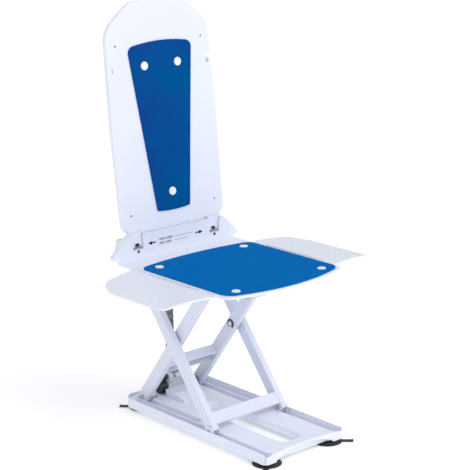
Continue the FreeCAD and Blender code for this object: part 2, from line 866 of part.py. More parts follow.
# Seat ----------------------------------------------------------------------------------------
def seat_rails():
    """Channel under the seat, open outwards, that the upper shoe slides in."""
    wall, gap = size("rail_wall"), size("rail_gap")
    tall = size("shoe_height") / 2 + gap
    inside = inner_face - size("side_gap") - size("shoe_thickness") - gap
    outside = inner_face - size("side_gap") - 1
    low, high = upper_height - tall, upper_height + tall
    channel = prism("seat_rail", "XZ",
                    [(inside - wall, low - wall), (outside, low - wall), (outside, low),
                     (inside, low), (inside, high), (outside, high),
                     (outside, seat_bottom), (inside - wall, seat_bottom)],
                    -size("rail_front"), size("rail_front") - size("rail_rear"))
    start, end = -size("rail_slope_start"), -(size("rail_front") + 1)
    slope = prism("rail_slope", "YZ",
                  [(start, low - wall - 1), (start, low - wall),
                   (end, low - wall + size("rail_slope_rise")), (end, low - wall - 1)],
                  inside - wall - 1, outside - inside + wall + 2)
    right = finish("seat_rail_right", cut("seat_rail_cut", channel, slope))
    finish("seat_rail_left", mirror("seat_rail_mirrored", right))


def top_brackets():
    """Forked bracket under the seat over the top of each outer arm, and its pin."""
    thick = size("bracket_thickness")
    gap = size("side_gap") + 1
    inside, outside = outer_face - gap, outer_outside + gap
    low = upper_height - size("pin_radius") - 7
    half = size("bracket_half_length") - 3
    fork = prism("top_fork", "XZ",
                 [(inside - thick, low), (inside, low), (inside, seat_bottom - thick),
                  (outside, seat_bottom - thick), (outside, low), (outside + thick, low),
                  (outside + thick, seat_bottom), (inside - thick, seat_bottom)],
                 top_pivot - half, half * 2)
    bore = rod("top_bore", "x", (inside - thick - 1, top_pivot, upper_height),
               size("pin_radius"), outside - inside + thick * 2 + 2)
    right = finish("top_bracket_right", cut("top_bracket", fork, bore))
    finish("top_bracket_left", mirror("top_bracket_mirrored", right))
    head = rod("top_pin_head", "x", (outside + thick, top_pivot, upper_height),
               size("pin_head_radius"), size("pin_head"))
    shank = rod("top_pin_shank", "x", (inside - thick, top_pivot, upper_height),
                size("pin_radius"), outside - inside + thick * 2)
    pin = finish("top_pin_right", fuse("top_pin", head, shank))
    finish("top_pin_left", mirror("top_pin_mirrored", pin))


def hinge_line():
    """Middle of the right flap's hinge, in X and Z."""
    return size("seat_half_width") + size("hinge_inset"), seat_top - size("hinge_inset")


def knuckle(name, low, high, inner, outer):
    """Hinge barrel from low to high along Y with its leaf from inner to outer along X."""
    x, z = hinge_line()
    barrel = rod(f"{name}_barrel", "y", (x, low, z), size("hinge_radius"), high - low)
    leaf = box(f"{name}_leaf", (inner, outer), (low, high), (z, z + size("hinge_radius")))
    return [barrel, leaf]


def knuckle_spans():
    """Spans along Y of the flap's own barrels, front and rear."""
    length = size("knuckle_length")
    front, rear = -size("knuckle_front"), size("knuckle_rear")
    return [("front", front - length, front), ("rear", rear, rear + length)]


def hinge_bore(name, low, high):
    x, z = hinge_line()
    return rod(name, "y", (x, low, z), size("hinge_pin_radius") + size("running_fit"), high - low)


def seat_plate():
    """Moulded seat with an arched front edge, ribs below and hinge barrels at both sides."""
    half = size("seat_half_width")
    front, corner, rear = -size("seat_front"), -size("seat_front_corner"), size("seat_rear")
    rear_half, bend = size("seat_rear_half"), size("seat_rear_corner")
    plate = prism("seat_board", "XY",
                  [(-half, corner), (0, front, "via"), (half, corner), (half, bend),
                   (rear_half, rear), (-rear_half, rear), (-half, bend)],
                  seat_bottom, size("seat_thickness"),
                  rounds=[(size("seat_round"), (0, 1)), (size("seat_edge") * 3, (2, 3, 4, 5))],
                  edge=size("seat_edge"))
    pieces = [plate]
    rib_half = inner_face - size("shoe_thickness") - size("rail_wall") - 6
    for number, y in enumerate((-200, -110, -20, 70, 160)):
        pieces.append(box(f"seat_rib{number}", (-rib_half, rib_half), (y, y + 3),
                          (seat_bottom - 10, seat_bottom + 1)))
    x, _ = hinge_line()
    bores = []
    for mark, low, high in knuckle_spans():
        length, gap = size("knuckle_length") * 0.7, size("knuckle_gap")
        y_low, y_high = (high + gap, high + gap + length)
        right = knuckle(f"seat_knuckle_{mark}", y_low, y_high, half - size("seat_edge") - 1, x)
        bore = hinge_bore(f"seat_knuckle_bore_{mark}", y_low - 1, y_high + 1)
        pieces += right + [mirror(f"seat_{mark}_mirror{index}", piece)
                           for index, piece in enumerate(right)]
        bores += [bore, mirror(f"seat_bore_{mark}_mirror", bore)]
    finish("seat_plate", cut("seat", fuse("seat_solid", *pieces), *bores))


def flap():
    """Side flap: level beside the seat, then drooping to its outer edge."""
    x, z = hinge_line()
    inner = size("seat_half_width") + size("flap_gap")
    outer, flat = size("flap_outer"), size("flap_flat")
    top, thick, droop = seat_top - 0.5, size("flap_thickness"), size("flap_droop")
    front, rear = -size("flap_front"), size("flap_rear")
    middle = (flat + outer) / 2
    section = prism("flap_section", "XZ",
                    [(inner, top - thick), (flat, top - thick),
                     (middle, top - thick - droop * 0.3, "via"), (outer, top - thick - droop),
                     (outer, top - droop), (middle, top - droop * 0.3, "via"), (flat, top),
                     (inner, top)], front - 10, rear - front + 20)
    outline = prism("flap_outline", "XY",
                    [(inner, front), (outer, -size("flap_front_outer")),
                     (outer, size("flap_rear_outer") - 40),
                     (size("flap_rear_bend"), size("flap_rear_outer") + 18), (inner, rear)],
                    top - thick - droop - 5, thick + droop + 10,
                    rounds=[(size("flap_round"), (1, 2)), (size("flap_round") * 2, (3,)),
                            (dim(10), (0, 4))])
    pieces = [common("flap_panel", section, outline)]
    bores = []
    for mark, low, high in knuckle_spans():
        pieces += knuckle(f"flap_knuckle_{mark}", low, high, x, inner + 2)
        bores.append(hinge_bore(f"flap_bore_{mark}", low - 1, high + 1))
    right = finish("flap_right", cut("flap", fuse("flap_solid", *pieces), *bores))
    finish("flap_left", mirror("flap_mirrored", right))
    spans = knuckle_spans()
    low, high = spans[0][1], spans[1][2] + size("knuckle_length") * 0.7 + size("knuckle_gap")
    pin = finish("flap_pin_right", rod("flap_pin", "y", (x, low, z), size("hinge_pin_radius"),
                                       high - low))
    finish("flap_pin_left", mirror("flap_pin_mirrored", pin))


def button_set(node, places, start, tall):
    """Alike round studs that hold a pad down."""
    studs = [rod(f"{node}_stud{index}", "z", (u, v, start), size("button_radius"), tall)
             for index, (u, v) in enumerate(places)]
    return group(f"{node}_group", *studs)


def seat_pad():
    """Thin soft pad held by four studs."""
    half, corner = size("pad_half_width"), size("pad_rear_corner")
    front_corner = -size("pad_front_corner")
    sheet_body = prism("pad_sheet", "XY",
                       [(-half, front_corner), (0, -size("pad_front"), "via"),
                        (half, front_corner), (half, corner), (0, size("pad_rear"), "via"),
                        (-half, corner)], seat_top, size("pad_thickness"),
                       rounds=[(size("pad_round"), (0, 1, 2, 3))])
    side = size("seat_button_side")
    places = [(x, y) for x in (-side, side)
              for y in (-size("seat_button_front"), size("seat_button_rear"))]
    holes = [rod(f"pad_hole{index}", "z", (x, y, seat_top - 1),
                 size("button_radius") + size("button_gap"), size("pad_thickness") + 2)
             for index, (x, y) in enumerate(places)]
    finish("seat_pad", cut("pad", sheet_body, *holes))
    finish("seat_buttons", button_set("seat_buttons", places, seat_top, size("button_height")))


def chain_anchor():
    """Block under the seat that the top of the chain pushes on."""
    reach = size("chain_width") / 2 + 9
    finish("chain_anchor", box("anchor", (-reach, reach),
                               (drive_middle - 16, size("seat_rear") - 4),
                               (seat_bottom - size("anchor_height"), seat_bottom)))


back_axis = size("back_axis")
back_height = seat_top + size("back_axis_rise")


def hinge_block():
    """Hollow block across the rear of the seat that carries the backrest hinge."""
    front, rear, wall = size("block_front"), size("block_rear"), size("block_wall")
    foot, wide, step = size("block_foot"), size("block_wide"), size("block_foot_rise")

    def outline(foot_half, wide_half, top_half, rise):
        return [(-foot_half, seat_top), (foot_half, seat_top), (wide_half, seat_top + step),
                (top_half, seat_top + rise), (-top_half, seat_top + rise),
                (-wide_half, seat_top + step)]

    body_half, body_wide = size("block_body_half"), size("block_body_wide")
    face = prism("block_face", "XZ",
                 outline(foot, wide, size("block_top_half"), size("block_wall_rise")),
                 front, size("block_face_depth"), rounds=[(size("block_round"), (3, 4)),
                         (size("block_step_round"), (2, 5))])
    mass = prism("block_mass", "XZ",
                 outline(body_half, body_wide, body_half, size("block_body_rise")),
                 front + size("block_face_depth") - 1,
                 rear - front - size("block_face_depth") + 1,
                 rounds=[(size("block_body_round"), (3, 4)), (size("block_step_round"), (2, 5))])
    hollow_half = size("block_hollow_half")
    hollow_top = seat_top + size("block_body_rise") - wall
    tools = [box("block_hollow", (-hollow_half, hollow_half), (front + wall + 3, rear - wall),
                 (seat_top - 1, hollow_top))]
    gap = size("lug_gap")
    pocket = prism("block_pocket", "XZ",
                   [(u, back_height + v, *kind)
                    for u, v, *kind in lug_outline(gap, size("lug_drop_room"))],
                   front - 1, back_axis + size("lug_depth") + 3 - front)
    tools += [pocket, mirror("block_pocket_mirrored", pocket)]
    reach = size("lug_inner") + size("lug_width") + gap + 5
    tools.append(rod("block_bore", "x", (-reach, back_axis, back_height),
                     size("back_pin_radius"), reach * 2))
    finish("hinge_block", cut("block", fuse("block_solid", face, mass), *tools))
    finish("backrest_pin", rod("back_pin", "x", (-reach, back_axis, back_height),
                               size("back_pin_radius"), reach * 2))


# Backrest: drawn about its hinge axis, upright, then leaned back ------------------------------
lean = -size("back_lean")
front_face = -size("back_face")


def lean_back(obj):
    return place(obj, 0, back_axis, back_height, turn=lean)


def backrest_shell():
    """Moulded back with sloping shoulders, side notches and two hinge lugs."""
    low, mid, top = size("back_bottom"), size("back_middle"), size("back_top")
    sides = [(size("back_half_bottom"), low), (size("back_half_middle"), mid),
             (size("back_half_shoulder"), size("back_shoulder")),
             (size("back_half_crown"), size("back_crown"))]
    path = sides + [(dim(0), top, "via")] + [(-u, v) for u, v in reversed(sides)]
    board = prism("back_board", "XZ", path, front_face, size("back_thickness"),
                  rounds=[(size("back_round_bottom"), (0, 7)),
                          (size("back_round_shoulder"), (2, 5)),
                          (size("back_round_crown"), (3, 4))],
                  edge=size("back_edge"))
    half = size("back_hollow_half")
    hollow_low, hollow_high = size("back_hollow_low"), size("back_hollow_high")
    skin = front_face + size("back_skin")
    hollow = prism("back_hollow", "XZ",
                   [(-half, hollow_low), (half, hollow_low), (half, size("back_shoulder") - 20),
                    (size("back_half_crown"), hollow_high), (-size("back_half_crown"), hollow_high),
                    (-half, size("back_shoulder") - 20)],
                   skin, size("back_thickness"),
                   rounds=[(size("back_hollow_round"), (0, 1, 2, 3, 4, 5))])
    rib = size("back_rib")
    pieces, tools = [cut("back_dished", board, hollow)], []
    for number, x in enumerate((-70, 70)):
        pieces.append(box(f"back_upright{number}", (dim(x) - rib / 2, dim(x) + rib / 2),
                          (skin - 1, dim(-1)), (hollow_low - 2, hollow_high + 2)))
    for number in range(1, 5):
        level = hollow_low + (hollow_high - 40 - hollow_low) / 5 * number
        pieces.append(box(f"back_cross{number}", (-(half + 2), half + 2),
                          (skin - 1, dim(-1)), (level, level + rib)))
    inner, wide = size("lug_inner"), size("lug_width")
    lug_front = front_face + 2
    lug = prism("back_lug", "YZ",
                rectangle(lug_front, lug_front + size("lug_depth"), -size("lug_below"),
                          low + size("lug_overlap")),
                inner, wide, rounds=[(size("lug_round"), (0, 1))])
    gusset = prism("back_gusset", "XZ", lug_outline(0, 0)[2:], lug_front, size("gusset_depth"))
    bore = rod("back_lug_bore", "x", (inner - 1, 0, 0),
               size("back_pin_radius") + size("running_fit"), wide + size("lug_flare"))
    gap = size("latch_gap")
    seat_hole = latch_oval("latch_hole", lug_front - 1,
                           size("latch_depth") - size("latch_stand") + size("latch_travel") + 1.3,
                           gap)
    through = (front_face - 1, front_face + size("back_thickness") + 1)
    slit, half_slit = -size("slit_place"), size("slit_width") / 2
    tools += [box("back_notch", (size("notch_inner"), size("notch_outer")), through,
                  (size("notch_low"), size("notch_high"))),
              box("back_notch_mouth", (size("notch_outer") - 1, size("back_half_middle") + 5),
                  through, (size("notch_mouth"), size("notch_high"))),
              box("back_slit", (slit - half_slit, slit + half_slit), through,
                  (size("slit_low"), size("slit_high")))]
    for one in (lug, gusset):
        pieces += [one, mirror(f"{one.Name}_mirrored", one)]
    for one in (bore, seat_hole):
        tools += [one, mirror(f"{one.Name}_mirrored", one)]
    solid = fuse("back_solid", *pieces)
    shell = cut("back_shell", solid, *tools, *plug_rods("back_plug_hole"))
    finish("backrest_shell", lean_back(shell))
    finish("back_plugs", lean_back(group("back_plug_group", *plug_rods("back_plug"))))


def plug_rods(name):
    """Rods of the four plugs near the corners of the backrest's front."""
    places = [(size("plug_side_high"), size("plug_high")), (size("plug_side_low"), size("plug_low"))]
    rods = [rod(f"{name}{index}", "y", (u, front_face, v), size("plug_radius"), size("plug_depth"))
            for index, (u, v) in enumerate(places)]
    return rods + [mirror(f"{name}{index}_mirrored", one) for index, one in enumerate(rods)]


def lug_outline(grow, drop):
    """Outline of the right-hand lug from its foot up into the backrest, grown by a gap."""
    inner = size("lug_inner") - grow
    outer = size("lug_inner") + size("lug_width") + grow
    foot = -(size("lug_below") + drop)
    bend, top = size("lug_flare_start"), size("back_bottom") + size("lug_overlap")
    flare = size("lug_flare")
    return [(inner, foot), (outer, foot), (outer, bend),
            (outer + flare * 0.3, (bend + top) / 2, "via"), (outer + flare, top), (inner, top)]


def latch_oval(name, start, depth, grow):
    """Round-ended block in the right-hand lug, grown all round by a gap."""
    half_x, half_z = size("latch_width") / 2 + grow, size("latch_height") / 2 + grow
    middle = size("lug_inner") + size("lug_width") / 2
    drop = -size("latch_drop")
    return prism(name, "XZ",
                 rectangle(middle - half_x, middle + half_x, drop - half_z, drop + half_z),
                 start, depth, rounds=[(half_z * 0.96, (0, 1, 2, 3))])


def latches():
    """Buttons in the lugs that free the backrest's recline catch when pressed."""
    right = latch_oval("latch", front_face + 2 - size("latch_stand"), size("latch_depth"), 0)
    shown = mirror("latch_mirrored", right)
    finish("latch_button_right", lean_back(group("latch_right_placed", right)))
    finish("latch_button_left", lean_back(group("latch_left_placed", shown)))


def back_pad():
    """Tapering pad on the front of the backrest, held by three studs."""
    top_half, low_half = size("back_pad_half_top"), size("back_pad_half_low")
    corner, low_corner = size("back_pad_corner"), size("back_pad_low_corner")
    thick = size("back_pad_thickness")
    skin = prism("back_pad_sheet", "XZ",
                 [(-low_half, low_corner), (0, size("back_pad_low"), "via"),
                  (low_half, low_corner), (top_half, corner), (0, size("back_pad_top"), "via"),
                  (-top_half, corner)], front_face - thick, thick,
                 rounds=[(size("back_pad_round_low"), (0, 1)),
                         (size("back_pad_round_top"), (2, 3))])
    side = size("back_button_side")
    places = [(-side, size("back_button_high")), (side, size("back_button_high")),
              (dim(0), size("back_button_low"))]
    holes, studs = [], []
    for index, (x, s) in enumerate(places):
        holes.append(rod(f"back_hole{index}", "y", (x, front_face - thick - 1, s),
                         size("button_radius") + size("button_gap"), thick + 2))
        studs.append(rod(f"back_stud{index}", "y", (x, front_face - size("button_height"), s),
                         size("button_radius"), size("button_height")))
    finish("back_pad", lean_back(cut("back_pad_cut", skin, *holes)))
    finish("back_buttons", lean_back(group("back_stud_group", *studs)))


def build():
    base_plate()
    for name, x, y in cup_places():
        suction_cup(name, x, y)
    rear_bracket()
    rear_pins()
    drive()
    inner_arm()
    outer_arm()
    frame_bars()
    middle_pivots()
    foot_pins()
    shoes()
    seat_rails()
    top_brackets()
    seat_plate()
    seat_pad()
    flap()
    chain_anchor()
    hinge_block()
    backrest_shell()
    latches()
    back_pad()
    doc.recompute()


def check():
    """Stop before anything is written if a feature failed or a sub-part isn't sound."""
    for obj in doc.Objects:
        if any(word in ("Invalid", "Error") for word in obj.State):
            raise RuntimeError(f"{obj.Name} failed: {obj.State}")
    for node, obj in PARTS:
        if obj.Shape.isNull() or not obj.Shape.isValid() or not obj.Shape.Solids:
            raise RuntimeError(f"{node} has no sound solid")


build()
check()
os.makedirs("parts", exist_ok=True)
whole = FreeCAD.BoundBox()
for node, obj in PARTS:
    obj.Shape.exportStep(f"parts/{node}.step")
    whole.add(obj.Shape.BoundBox)
    print(f"{node}: {len(obj.Shape.Solids)} solid, {obj.Shape.Volume / 1000:.1f} cm3")
print("nodes", len(PARTS), "box", whole)
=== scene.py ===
"""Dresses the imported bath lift: finishes for its moulded, coated and steel parts, soft pads, grip,
chain, cups and small fittings, and a plain stage. Lengths are metres, +Z up, -Y towards the legs."""
import json
import math

import bmesh
import bpy
from mathutils import Matrix, Vector
from mathutils.bvhtree import BVHTree


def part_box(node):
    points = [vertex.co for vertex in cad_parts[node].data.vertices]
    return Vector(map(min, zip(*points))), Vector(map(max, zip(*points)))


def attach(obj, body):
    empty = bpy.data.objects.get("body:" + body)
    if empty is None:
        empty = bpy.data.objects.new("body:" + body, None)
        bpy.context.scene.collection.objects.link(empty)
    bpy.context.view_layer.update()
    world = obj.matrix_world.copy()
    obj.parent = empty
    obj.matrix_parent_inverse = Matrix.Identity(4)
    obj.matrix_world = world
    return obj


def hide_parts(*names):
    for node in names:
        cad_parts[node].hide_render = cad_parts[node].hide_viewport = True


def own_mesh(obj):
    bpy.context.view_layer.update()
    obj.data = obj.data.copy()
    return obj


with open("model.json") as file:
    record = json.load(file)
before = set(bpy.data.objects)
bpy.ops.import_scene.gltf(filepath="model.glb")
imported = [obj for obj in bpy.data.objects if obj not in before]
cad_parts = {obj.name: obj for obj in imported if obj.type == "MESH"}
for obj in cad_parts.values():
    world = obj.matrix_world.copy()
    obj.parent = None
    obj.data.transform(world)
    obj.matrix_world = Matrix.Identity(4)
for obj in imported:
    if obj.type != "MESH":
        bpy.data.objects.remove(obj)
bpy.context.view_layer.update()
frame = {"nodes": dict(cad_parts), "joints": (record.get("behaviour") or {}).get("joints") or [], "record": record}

bl_info = {
    "name": "Bath lift",
    "version": (1, 0, 0),
    "blender": (4, 5, 0),
    "location": "3D View > Sidebar > Bath lift",
    "description": "Builds the soft pads, fittings, finishes and stage of a powered bath lift",
    "category": "Object",
}

RECORD = frame["record"]
JOINTS = {joint["name"]: joint for joint in frame["joints"]}
BACK_AXIS = Vector(JOINTS["recline"]["pos_m"])
PRINT = 0.00025
TURN = math.tau
CLOTH_FRAMES = 20
SHOWN = 0.8


# Sizes and colours ---------------------------------------------------------------------------
def length(name, default, description):
    """A length that a user may change."""
    return bpy.props.FloatProperty(name=name, description=description, default=default, unit="LENGTH",
                                   subtype="DISTANCE")


def tint(name, default, description):
    """A colour that a user may change."""
    return bpy.props.FloatVectorProperty(name=name, description=description, size=4, default=default,
                                         subtype="COLOR")


class PadSizes(bpy.types.PropertyGroup):
    """The two soft pads."""
    mesh_step: length("Mesh step", 0.0042, "Width of one face before smoothing")
    sink: length("Sink", 0.0012, "How much thinner a pad starts before it swells")
    swell: length("Swell", 0.0016, "Most that a point may rise")
    seat_corner: length("Seat corner", 0.025, "Corner radius of the seat pad")
    seat_front_bow: length("Front bow", 0.038, "How far the front edge bows out")
    seat_rear_bow: length("Rear bow", 0.020, "How far the rear edge bows out")
    arc_radius: length("Arc radius", 0.115, "Pressed arc round a rear corner")
    arc_middle: length("Arc middle", 0.087, "Middle of the pressed arc behind the seat's middle")
    arc_width: length("Arc width", 0.0030, "Half width of the pressed arc")
    arc_depth: length("Arc depth", 0.0010, "Depth of the pressed arc")
    dimple: length("Dimple", 0.0030, "How far a stud pulls the pad down")
    stud_radius: length("Stud radius", 0.0115, "Radius of a pad stud")
    stud_border: length("Stud border", 0.002, "Held ring round a stud")
    dot_x: length("Dot sideways", -0.004, "Sideways place of the centre dot")
    dot_y: length("Dot lengthways", -0.002, "Lengthways place of the centre dot")
    dot_radius: length("Dot radius", 0.0050, "Outer radius of the centre dot")
    dot_depth: length("Dot depth", 0.0012, "Depth of the centre dot")
    back_lean: bpy.props.FloatProperty(name="Back lean", description="Lean of the backrest at rest",
                                       default=math.radians(5.2), unit="ROTATION", subtype="ANGLE")


class GripSizes(bpy.types.PropertyGroup):
    """The moulded non-slip pips."""
    pitch: length("Pitch", 0.0068, "Distance between pips in a row")
    length: length("Length", 0.0042, "Length of a pip")
    width: length("Width", 0.0020, "Width of a pip")
    height: length("Height", 0.00045, "Height of a pip")
    margin: length("Margin", 0.010, "Plain border round the pips")


class FittingSizes(bpy.types.PropertyGroup):
    """Cups, chain links and small fittings."""
    cup_radius: length("Cup radius", 0.038, "Radius of a suction cup's lip")
    cup_neck: length("Cup neck", 0.009, "Radius of a cup's neck")
    tab_width: length("Tab width", 0.014, "Width of a cup's release tab")
    link_pitch: length("Link pitch", 0.0175, "Height of one link of the push chain")
    chain_folded: bpy.props.FloatProperty(name="Chain folded",
                                          description="Share of the column left with the lift down",
                                          default=0.0363, subtype="FACTOR")
    clip_thickness: length("Clip thickness", 0.0020, "Thickness of a pivot clip")
    clip_share: bpy.props.FloatProperty(name="Clip share",
                                        description="Share of a full ring that a clip fills",
                                        default=0.84, subtype="FACTOR")
    screw_radius: length("Screw radius", 0.0040, "Radius of a small screw's head")


class Finishes(bpy.types.PropertyGroup):
    """Colours of the lift's finishes."""
    white: tint("White plastic", (0.815, 0.845, 0.945, 1), "Moulded shells")
    coat: tint("White coat", (0.730, 0.760, 0.870, 1), "Powder coat of the frame")
    blue: tint("Pad blue", (0.0002, 0.150, 0.480, 1), "Soft pads")
    # Mixed only into the backrest pad over a darker blue: it varies that pad's tone at random and also adds
    # painted shade
    indigo: tint("Pad indigo", (0.008, 0.036, 0.25, 1), "Deeper tone of the pads")


SETTINGS = {"lift_pads": PadSizes, "lift_grip": GripSizes, "lift_fittings": FittingSizes,
            "lift_finishes": Finishes}


# Modelling by hand ---------------------------------------------------------------------------
def clear_selection():
    if bpy.context.object and bpy.context.object.mode != "OBJECT":
        bpy.ops.object.mode_set(mode="OBJECT")
    bpy.ops.object.select_all(action="DESELECT")


def pick(piece, *others):
    """Make one piece active, selected alone or with others."""
    clear_selection()
    for item in (piece, *others):
        item.select_set(True)
    bpy.context.view_layer.objects.active = piece
    return piece


def start(name, add, **sizes):
    """Add a primitive and name it."""
    clear_selection()
    add(**sizes)
    piece = bpy.context.object
    piece.name = piece.data.name = name
    return piece


def choose(piece, kind, wanted):
    """In edit mode, select only the vertices, edges or faces that pass a test."""
    bpy.ops.mesh.select_mode(type={"verts": "VERT", "edges": "EDGE", "faces": "FACE"}[kind])
    bpy.ops.mesh.select_all(action="DESELECT")
    mesh = bmesh.from_edit_mesh(piece.data)
    for item in getattr(mesh, kind):
        item.select_set(wanted(item))
    mesh.select_flush_mode()
    bmesh.update_edit_mesh(piece.data)


def edit(piece):
    pick(piece)
    bpy.ops.object.mode_set(mode="EDIT")


def leave():
    bpy.ops.object.mode_set(mode="OBJECT")


def bake_in(piece):
    """Put the piece's place, turn and size into its mesh."""
    pick(piece)
    bpy.ops.object.transform_apply(location=True, rotation=True, scale=True)
    return piece


def add_modifier(piece, kind, **values):
    """Add one modifier and apply it."""
    modifier = piece.modifiers.new(kind.title(), kind)
    for key, value in values.items():
        setattr(modifier, key, value)
    pick(piece)
    bpy.ops.object.modifier_apply(modifier=modifier.name)


def round_edges(piece, width, segments=3, angle=40):
    add_modifier(piece, "BEVEL", width=width, segments=segments, limit_method="ANGLE",
                 angle_limit=math.radians(angle))


def smooth(piece, angle=40):
    pick(piece)
    bpy.ops.object.shade_smooth_by_angle(angle=math.radians(angle))


def copy_to(piece, matrices):
    """Copy a piece to each place and join the copies into the first."""
    pieces = []
    for number, matrix in enumerate(matrices):
        twin = piece.copy()
        twin.data = piece.data.copy()
        bpy.context.scene.collection.objects.link(twin)
        twin.matrix_world = matrix
        pieces.append(twin)
    name = piece.name
    bpy.data.objects.remove(piece)
    pick(*pieces)
    bpy.ops.object.join()
    whole = bake_in(pieces[0])
    whole.name = whole.data.name = name
    return whole


def lathe(name, profile, steps=48, angle=TURN):
    """Spin an outline of (radius, height) points round Z."""
    piece = start(name, bpy.ops.mesh.primitive_plane_add, size=0.001)
    edit(piece)
    bpy.ops.mesh.select_mode(type="VERT")
    bpy.ops.mesh.select_all(action="SELECT")
    bpy.ops.mesh.merge(type="CENTER")
    bpy.ops.transform.translate(value=(profile[0][0], 0, profile[0][1]))
    for (radius, height), (after, level) in zip(profile, profile[1:]):
        bpy.ops.mesh.extrude_region_move(
            TRANSFORM_OT_translate={"value": (after - radius, 0, level - height)})
    bpy.ops.mesh.select_all(action="SELECT")
    bpy.ops.mesh.spin(steps=steps, angle=angle, center=(0, 0, 0), axis=(0, 0, 1))
    bpy.ops.mesh.select_all(action="SELECT")
    bpy.ops.mesh.remove_doubles(threshold=1e-6)
    bpy.ops.mesh.normals_make_consistent(inside=False)
    leave()
    return piece


def slab(name, low, high, bevel=0.0, segments=3):
    """Make a block between two corners with rounded edges."""
    low, high = Vector(low), Vector(high)
    piece = start(name, bpy.ops.mesh.primitive_cube_add, size=1, location=(low + high) / 2,
                  scale=high - low)
    bake_in(piece)
    if bevel:
        round_edges(piece, bevel, segments)
    return piece


def middle(node):
    low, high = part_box(node)
    return (low + high) / 2


def join(name, *pieces):
    """Join pieces into one named mesh at the origin."""
    pick(*pieces)
    bpy.ops.object.join()
    whole = bake_in(pieces[0])
    whole.name = whole.data.name = name
    return whole


def aim(spot, towards):
    """Matrix that stands a piece drawn along Z at a spot, pointing some way."""
    return Matrix.Translation(spot) @ Vector(towards).to_track_quat("Z", "X").to_matrix().to_4x4()


def press_in(piece, towards, border, depth):
    """Sink the middle of the faces that look one way."""
    edit(piece)
    choose(piece, "faces",
           lambda face: face.normal.dot(towards) > 0.95 and face.calc_area() > border ** 2)
    bpy.ops.mesh.inset(thickness=border, depth=-depth)
    leave()


def ready(piece, body, slot, finish, *nodes):
    """Give a piece its finish, the body it rides on and the nodes it stands for."""
    piece.data.materials.clear()
    piece.data.materials.append(bpy.data.materials[finish])
    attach(piece, body)
    if nodes:
        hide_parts(*nodes)
    return piece


def back_frame():
    """Matrix from the backrest drawn upright about its hinge to where it leans."""
    lean = bpy.context.scene.lift_pads.back_lean
    return Matrix.Translation(BACK_AXIS) @ Matrix.Rotation(-lean, 4, "X")


def node_tree(node):
    mesh = frame["nodes"][node].data
    return BVHTree.FromPolygons([v.co for v in mesh.vertices], [p.vertices for p in mesh.polygons])


# Finishes ------------------------------------------------------------------------------------
def new_group(name, inputs, outputs):
    tree = bpy.data.node_groups.new(name, "ShaderNodeTree")
    for label, kind, value in inputs:
        socket = tree.interface.new_socket(label, in_out="INPUT", socket_type=kind)
        socket.default_value = value
    for label, kind in outputs:
        tree.interface.new_socket(label, in_out="OUTPUT", socket_type=kind)
    return tree, tree.nodes.new("NodeGroupInput"), tree.nodes.new("NodeGroupOutput")


def node(tree, kind, **values):
    made = tree.nodes.new(kind)
    for key, value in values.items():
        if hasattr(made, key):
            setattr(made, key, value)
        else:
            made.inputs[key.replace("_", " ")].default_value = value
    return made


def tone_group():
    """Two tones mixed in soft clouds."""
    tree, inside, out = new_group(
        "Cloudy tone",
        [("Base", "NodeSocketColor", (1, 1, 1, 1)), ("Other", "NodeSocketColor", (1, 1, 1, 1)),
         ("Scale", "NodeSocketFloat", 10), ("Share", "NodeSocketFloat", 0.5)],
        [("Color", "NodeSocketColor")])
    place = node(tree, "ShaderNodeTexCoord")
    cloud = node(tree, "ShaderNodeTexNoise", Detail=5.0, Roughness=0.55)
    spread = node(tree, "ShaderNodeMapRange", From_Min=0.35, From_Max=0.65)
    amount = node(tree, "ShaderNodeMath", operation="MULTIPLY")
    mix = node(tree, "ShaderNodeMix", data_type="RGBA")
    link = tree.links.new
    link(place.outputs["Object"], cloud.inputs["Vector"])
    link(inside.outputs["Scale"], cloud.inputs["Scale"])
    link(cloud.outputs["Fac"], spread.inputs["Value"])
    link(spread.outputs["Result"], amount.inputs[0])
    link(inside.outputs["Share"], amount.inputs[1])
    link(amount.outputs[0], mix.inputs["Factor"])
    link(inside.outputs["Base"], mix.inputs["A"])
    link(inside.outputs["Other"], mix.inputs["B"])
    link(mix.outputs["Result"], out.inputs["Color"])


def grain_group():
    """A fine moulded or coated grain over a slow unevenness."""
    tree, inside, out = new_group(
        "Surface grain",
        [("Fine", "NodeSocketFloat", 900), ("Slow", "NodeSocketFloat", 30),
         ("Slow share", "NodeSocketFloat", 0.3)],
        [("Height", "NodeSocketFloat")])
    place = node(tree, "ShaderNodeTexCoord")
    fine = node(tree, "ShaderNodeTexNoise", Detail=2.0, Roughness=0.6)
    slow = node(tree, "ShaderNodeTexNoise", Detail=3.0, Roughness=0.5)
    share = node(tree, "ShaderNodeMath", operation="MULTIPLY")
    total = node(tree, "ShaderNodeMath", operation="ADD")
    link = tree.links.new
    for texture, label in ((fine, "Fine"), (slow, "Slow")):
        link(place.outputs["Object"], texture.inputs["Vector"])
        link(inside.outputs[label], texture.inputs["Scale"])
    link(slow.outputs["Fac"], share.inputs[0])
    link(inside.outputs["Slow share"], share.inputs[1])
    link(fine.outputs["Fac"], total.inputs[0])
    link(share.outputs[0], total.inputs[1])
    link(total.outputs[0], out.inputs["Height"])


def gloss_group():
    """Roughness that wanders between two values, as handling leaves it."""
    tree, inside, out = new_group(
        "Handled gloss",
        [("Low", "NodeSocketFloat", 0.3), ("High", "NodeSocketFloat", 0.5),
         ("Scale", "NodeSocketFloat", 14)],
        [("Roughness", "NodeSocketFloat")])
    place = node(tree, "ShaderNodeTexCoord")
    cloud = node(tree, "ShaderNodeTexNoise", Detail=6.0, Roughness=0.65)
    spread = node(tree, "ShaderNodeMapRange", From_Min=0.3, From_Max=0.7)
    link = tree.links.new
    link(place.outputs["Object"], cloud.inputs["Vector"])
    link(inside.outputs["Scale"], cloud.inputs["Scale"])
    link(cloud.outputs["Fac"], spread.inputs["Value"])
    link(inside.outputs["Low"], spread.inputs["To Min"])
    link(inside.outputs["High"], spread.inputs["To Max"])
    link(spread.outputs["Result"], out.inputs["Roughness"])


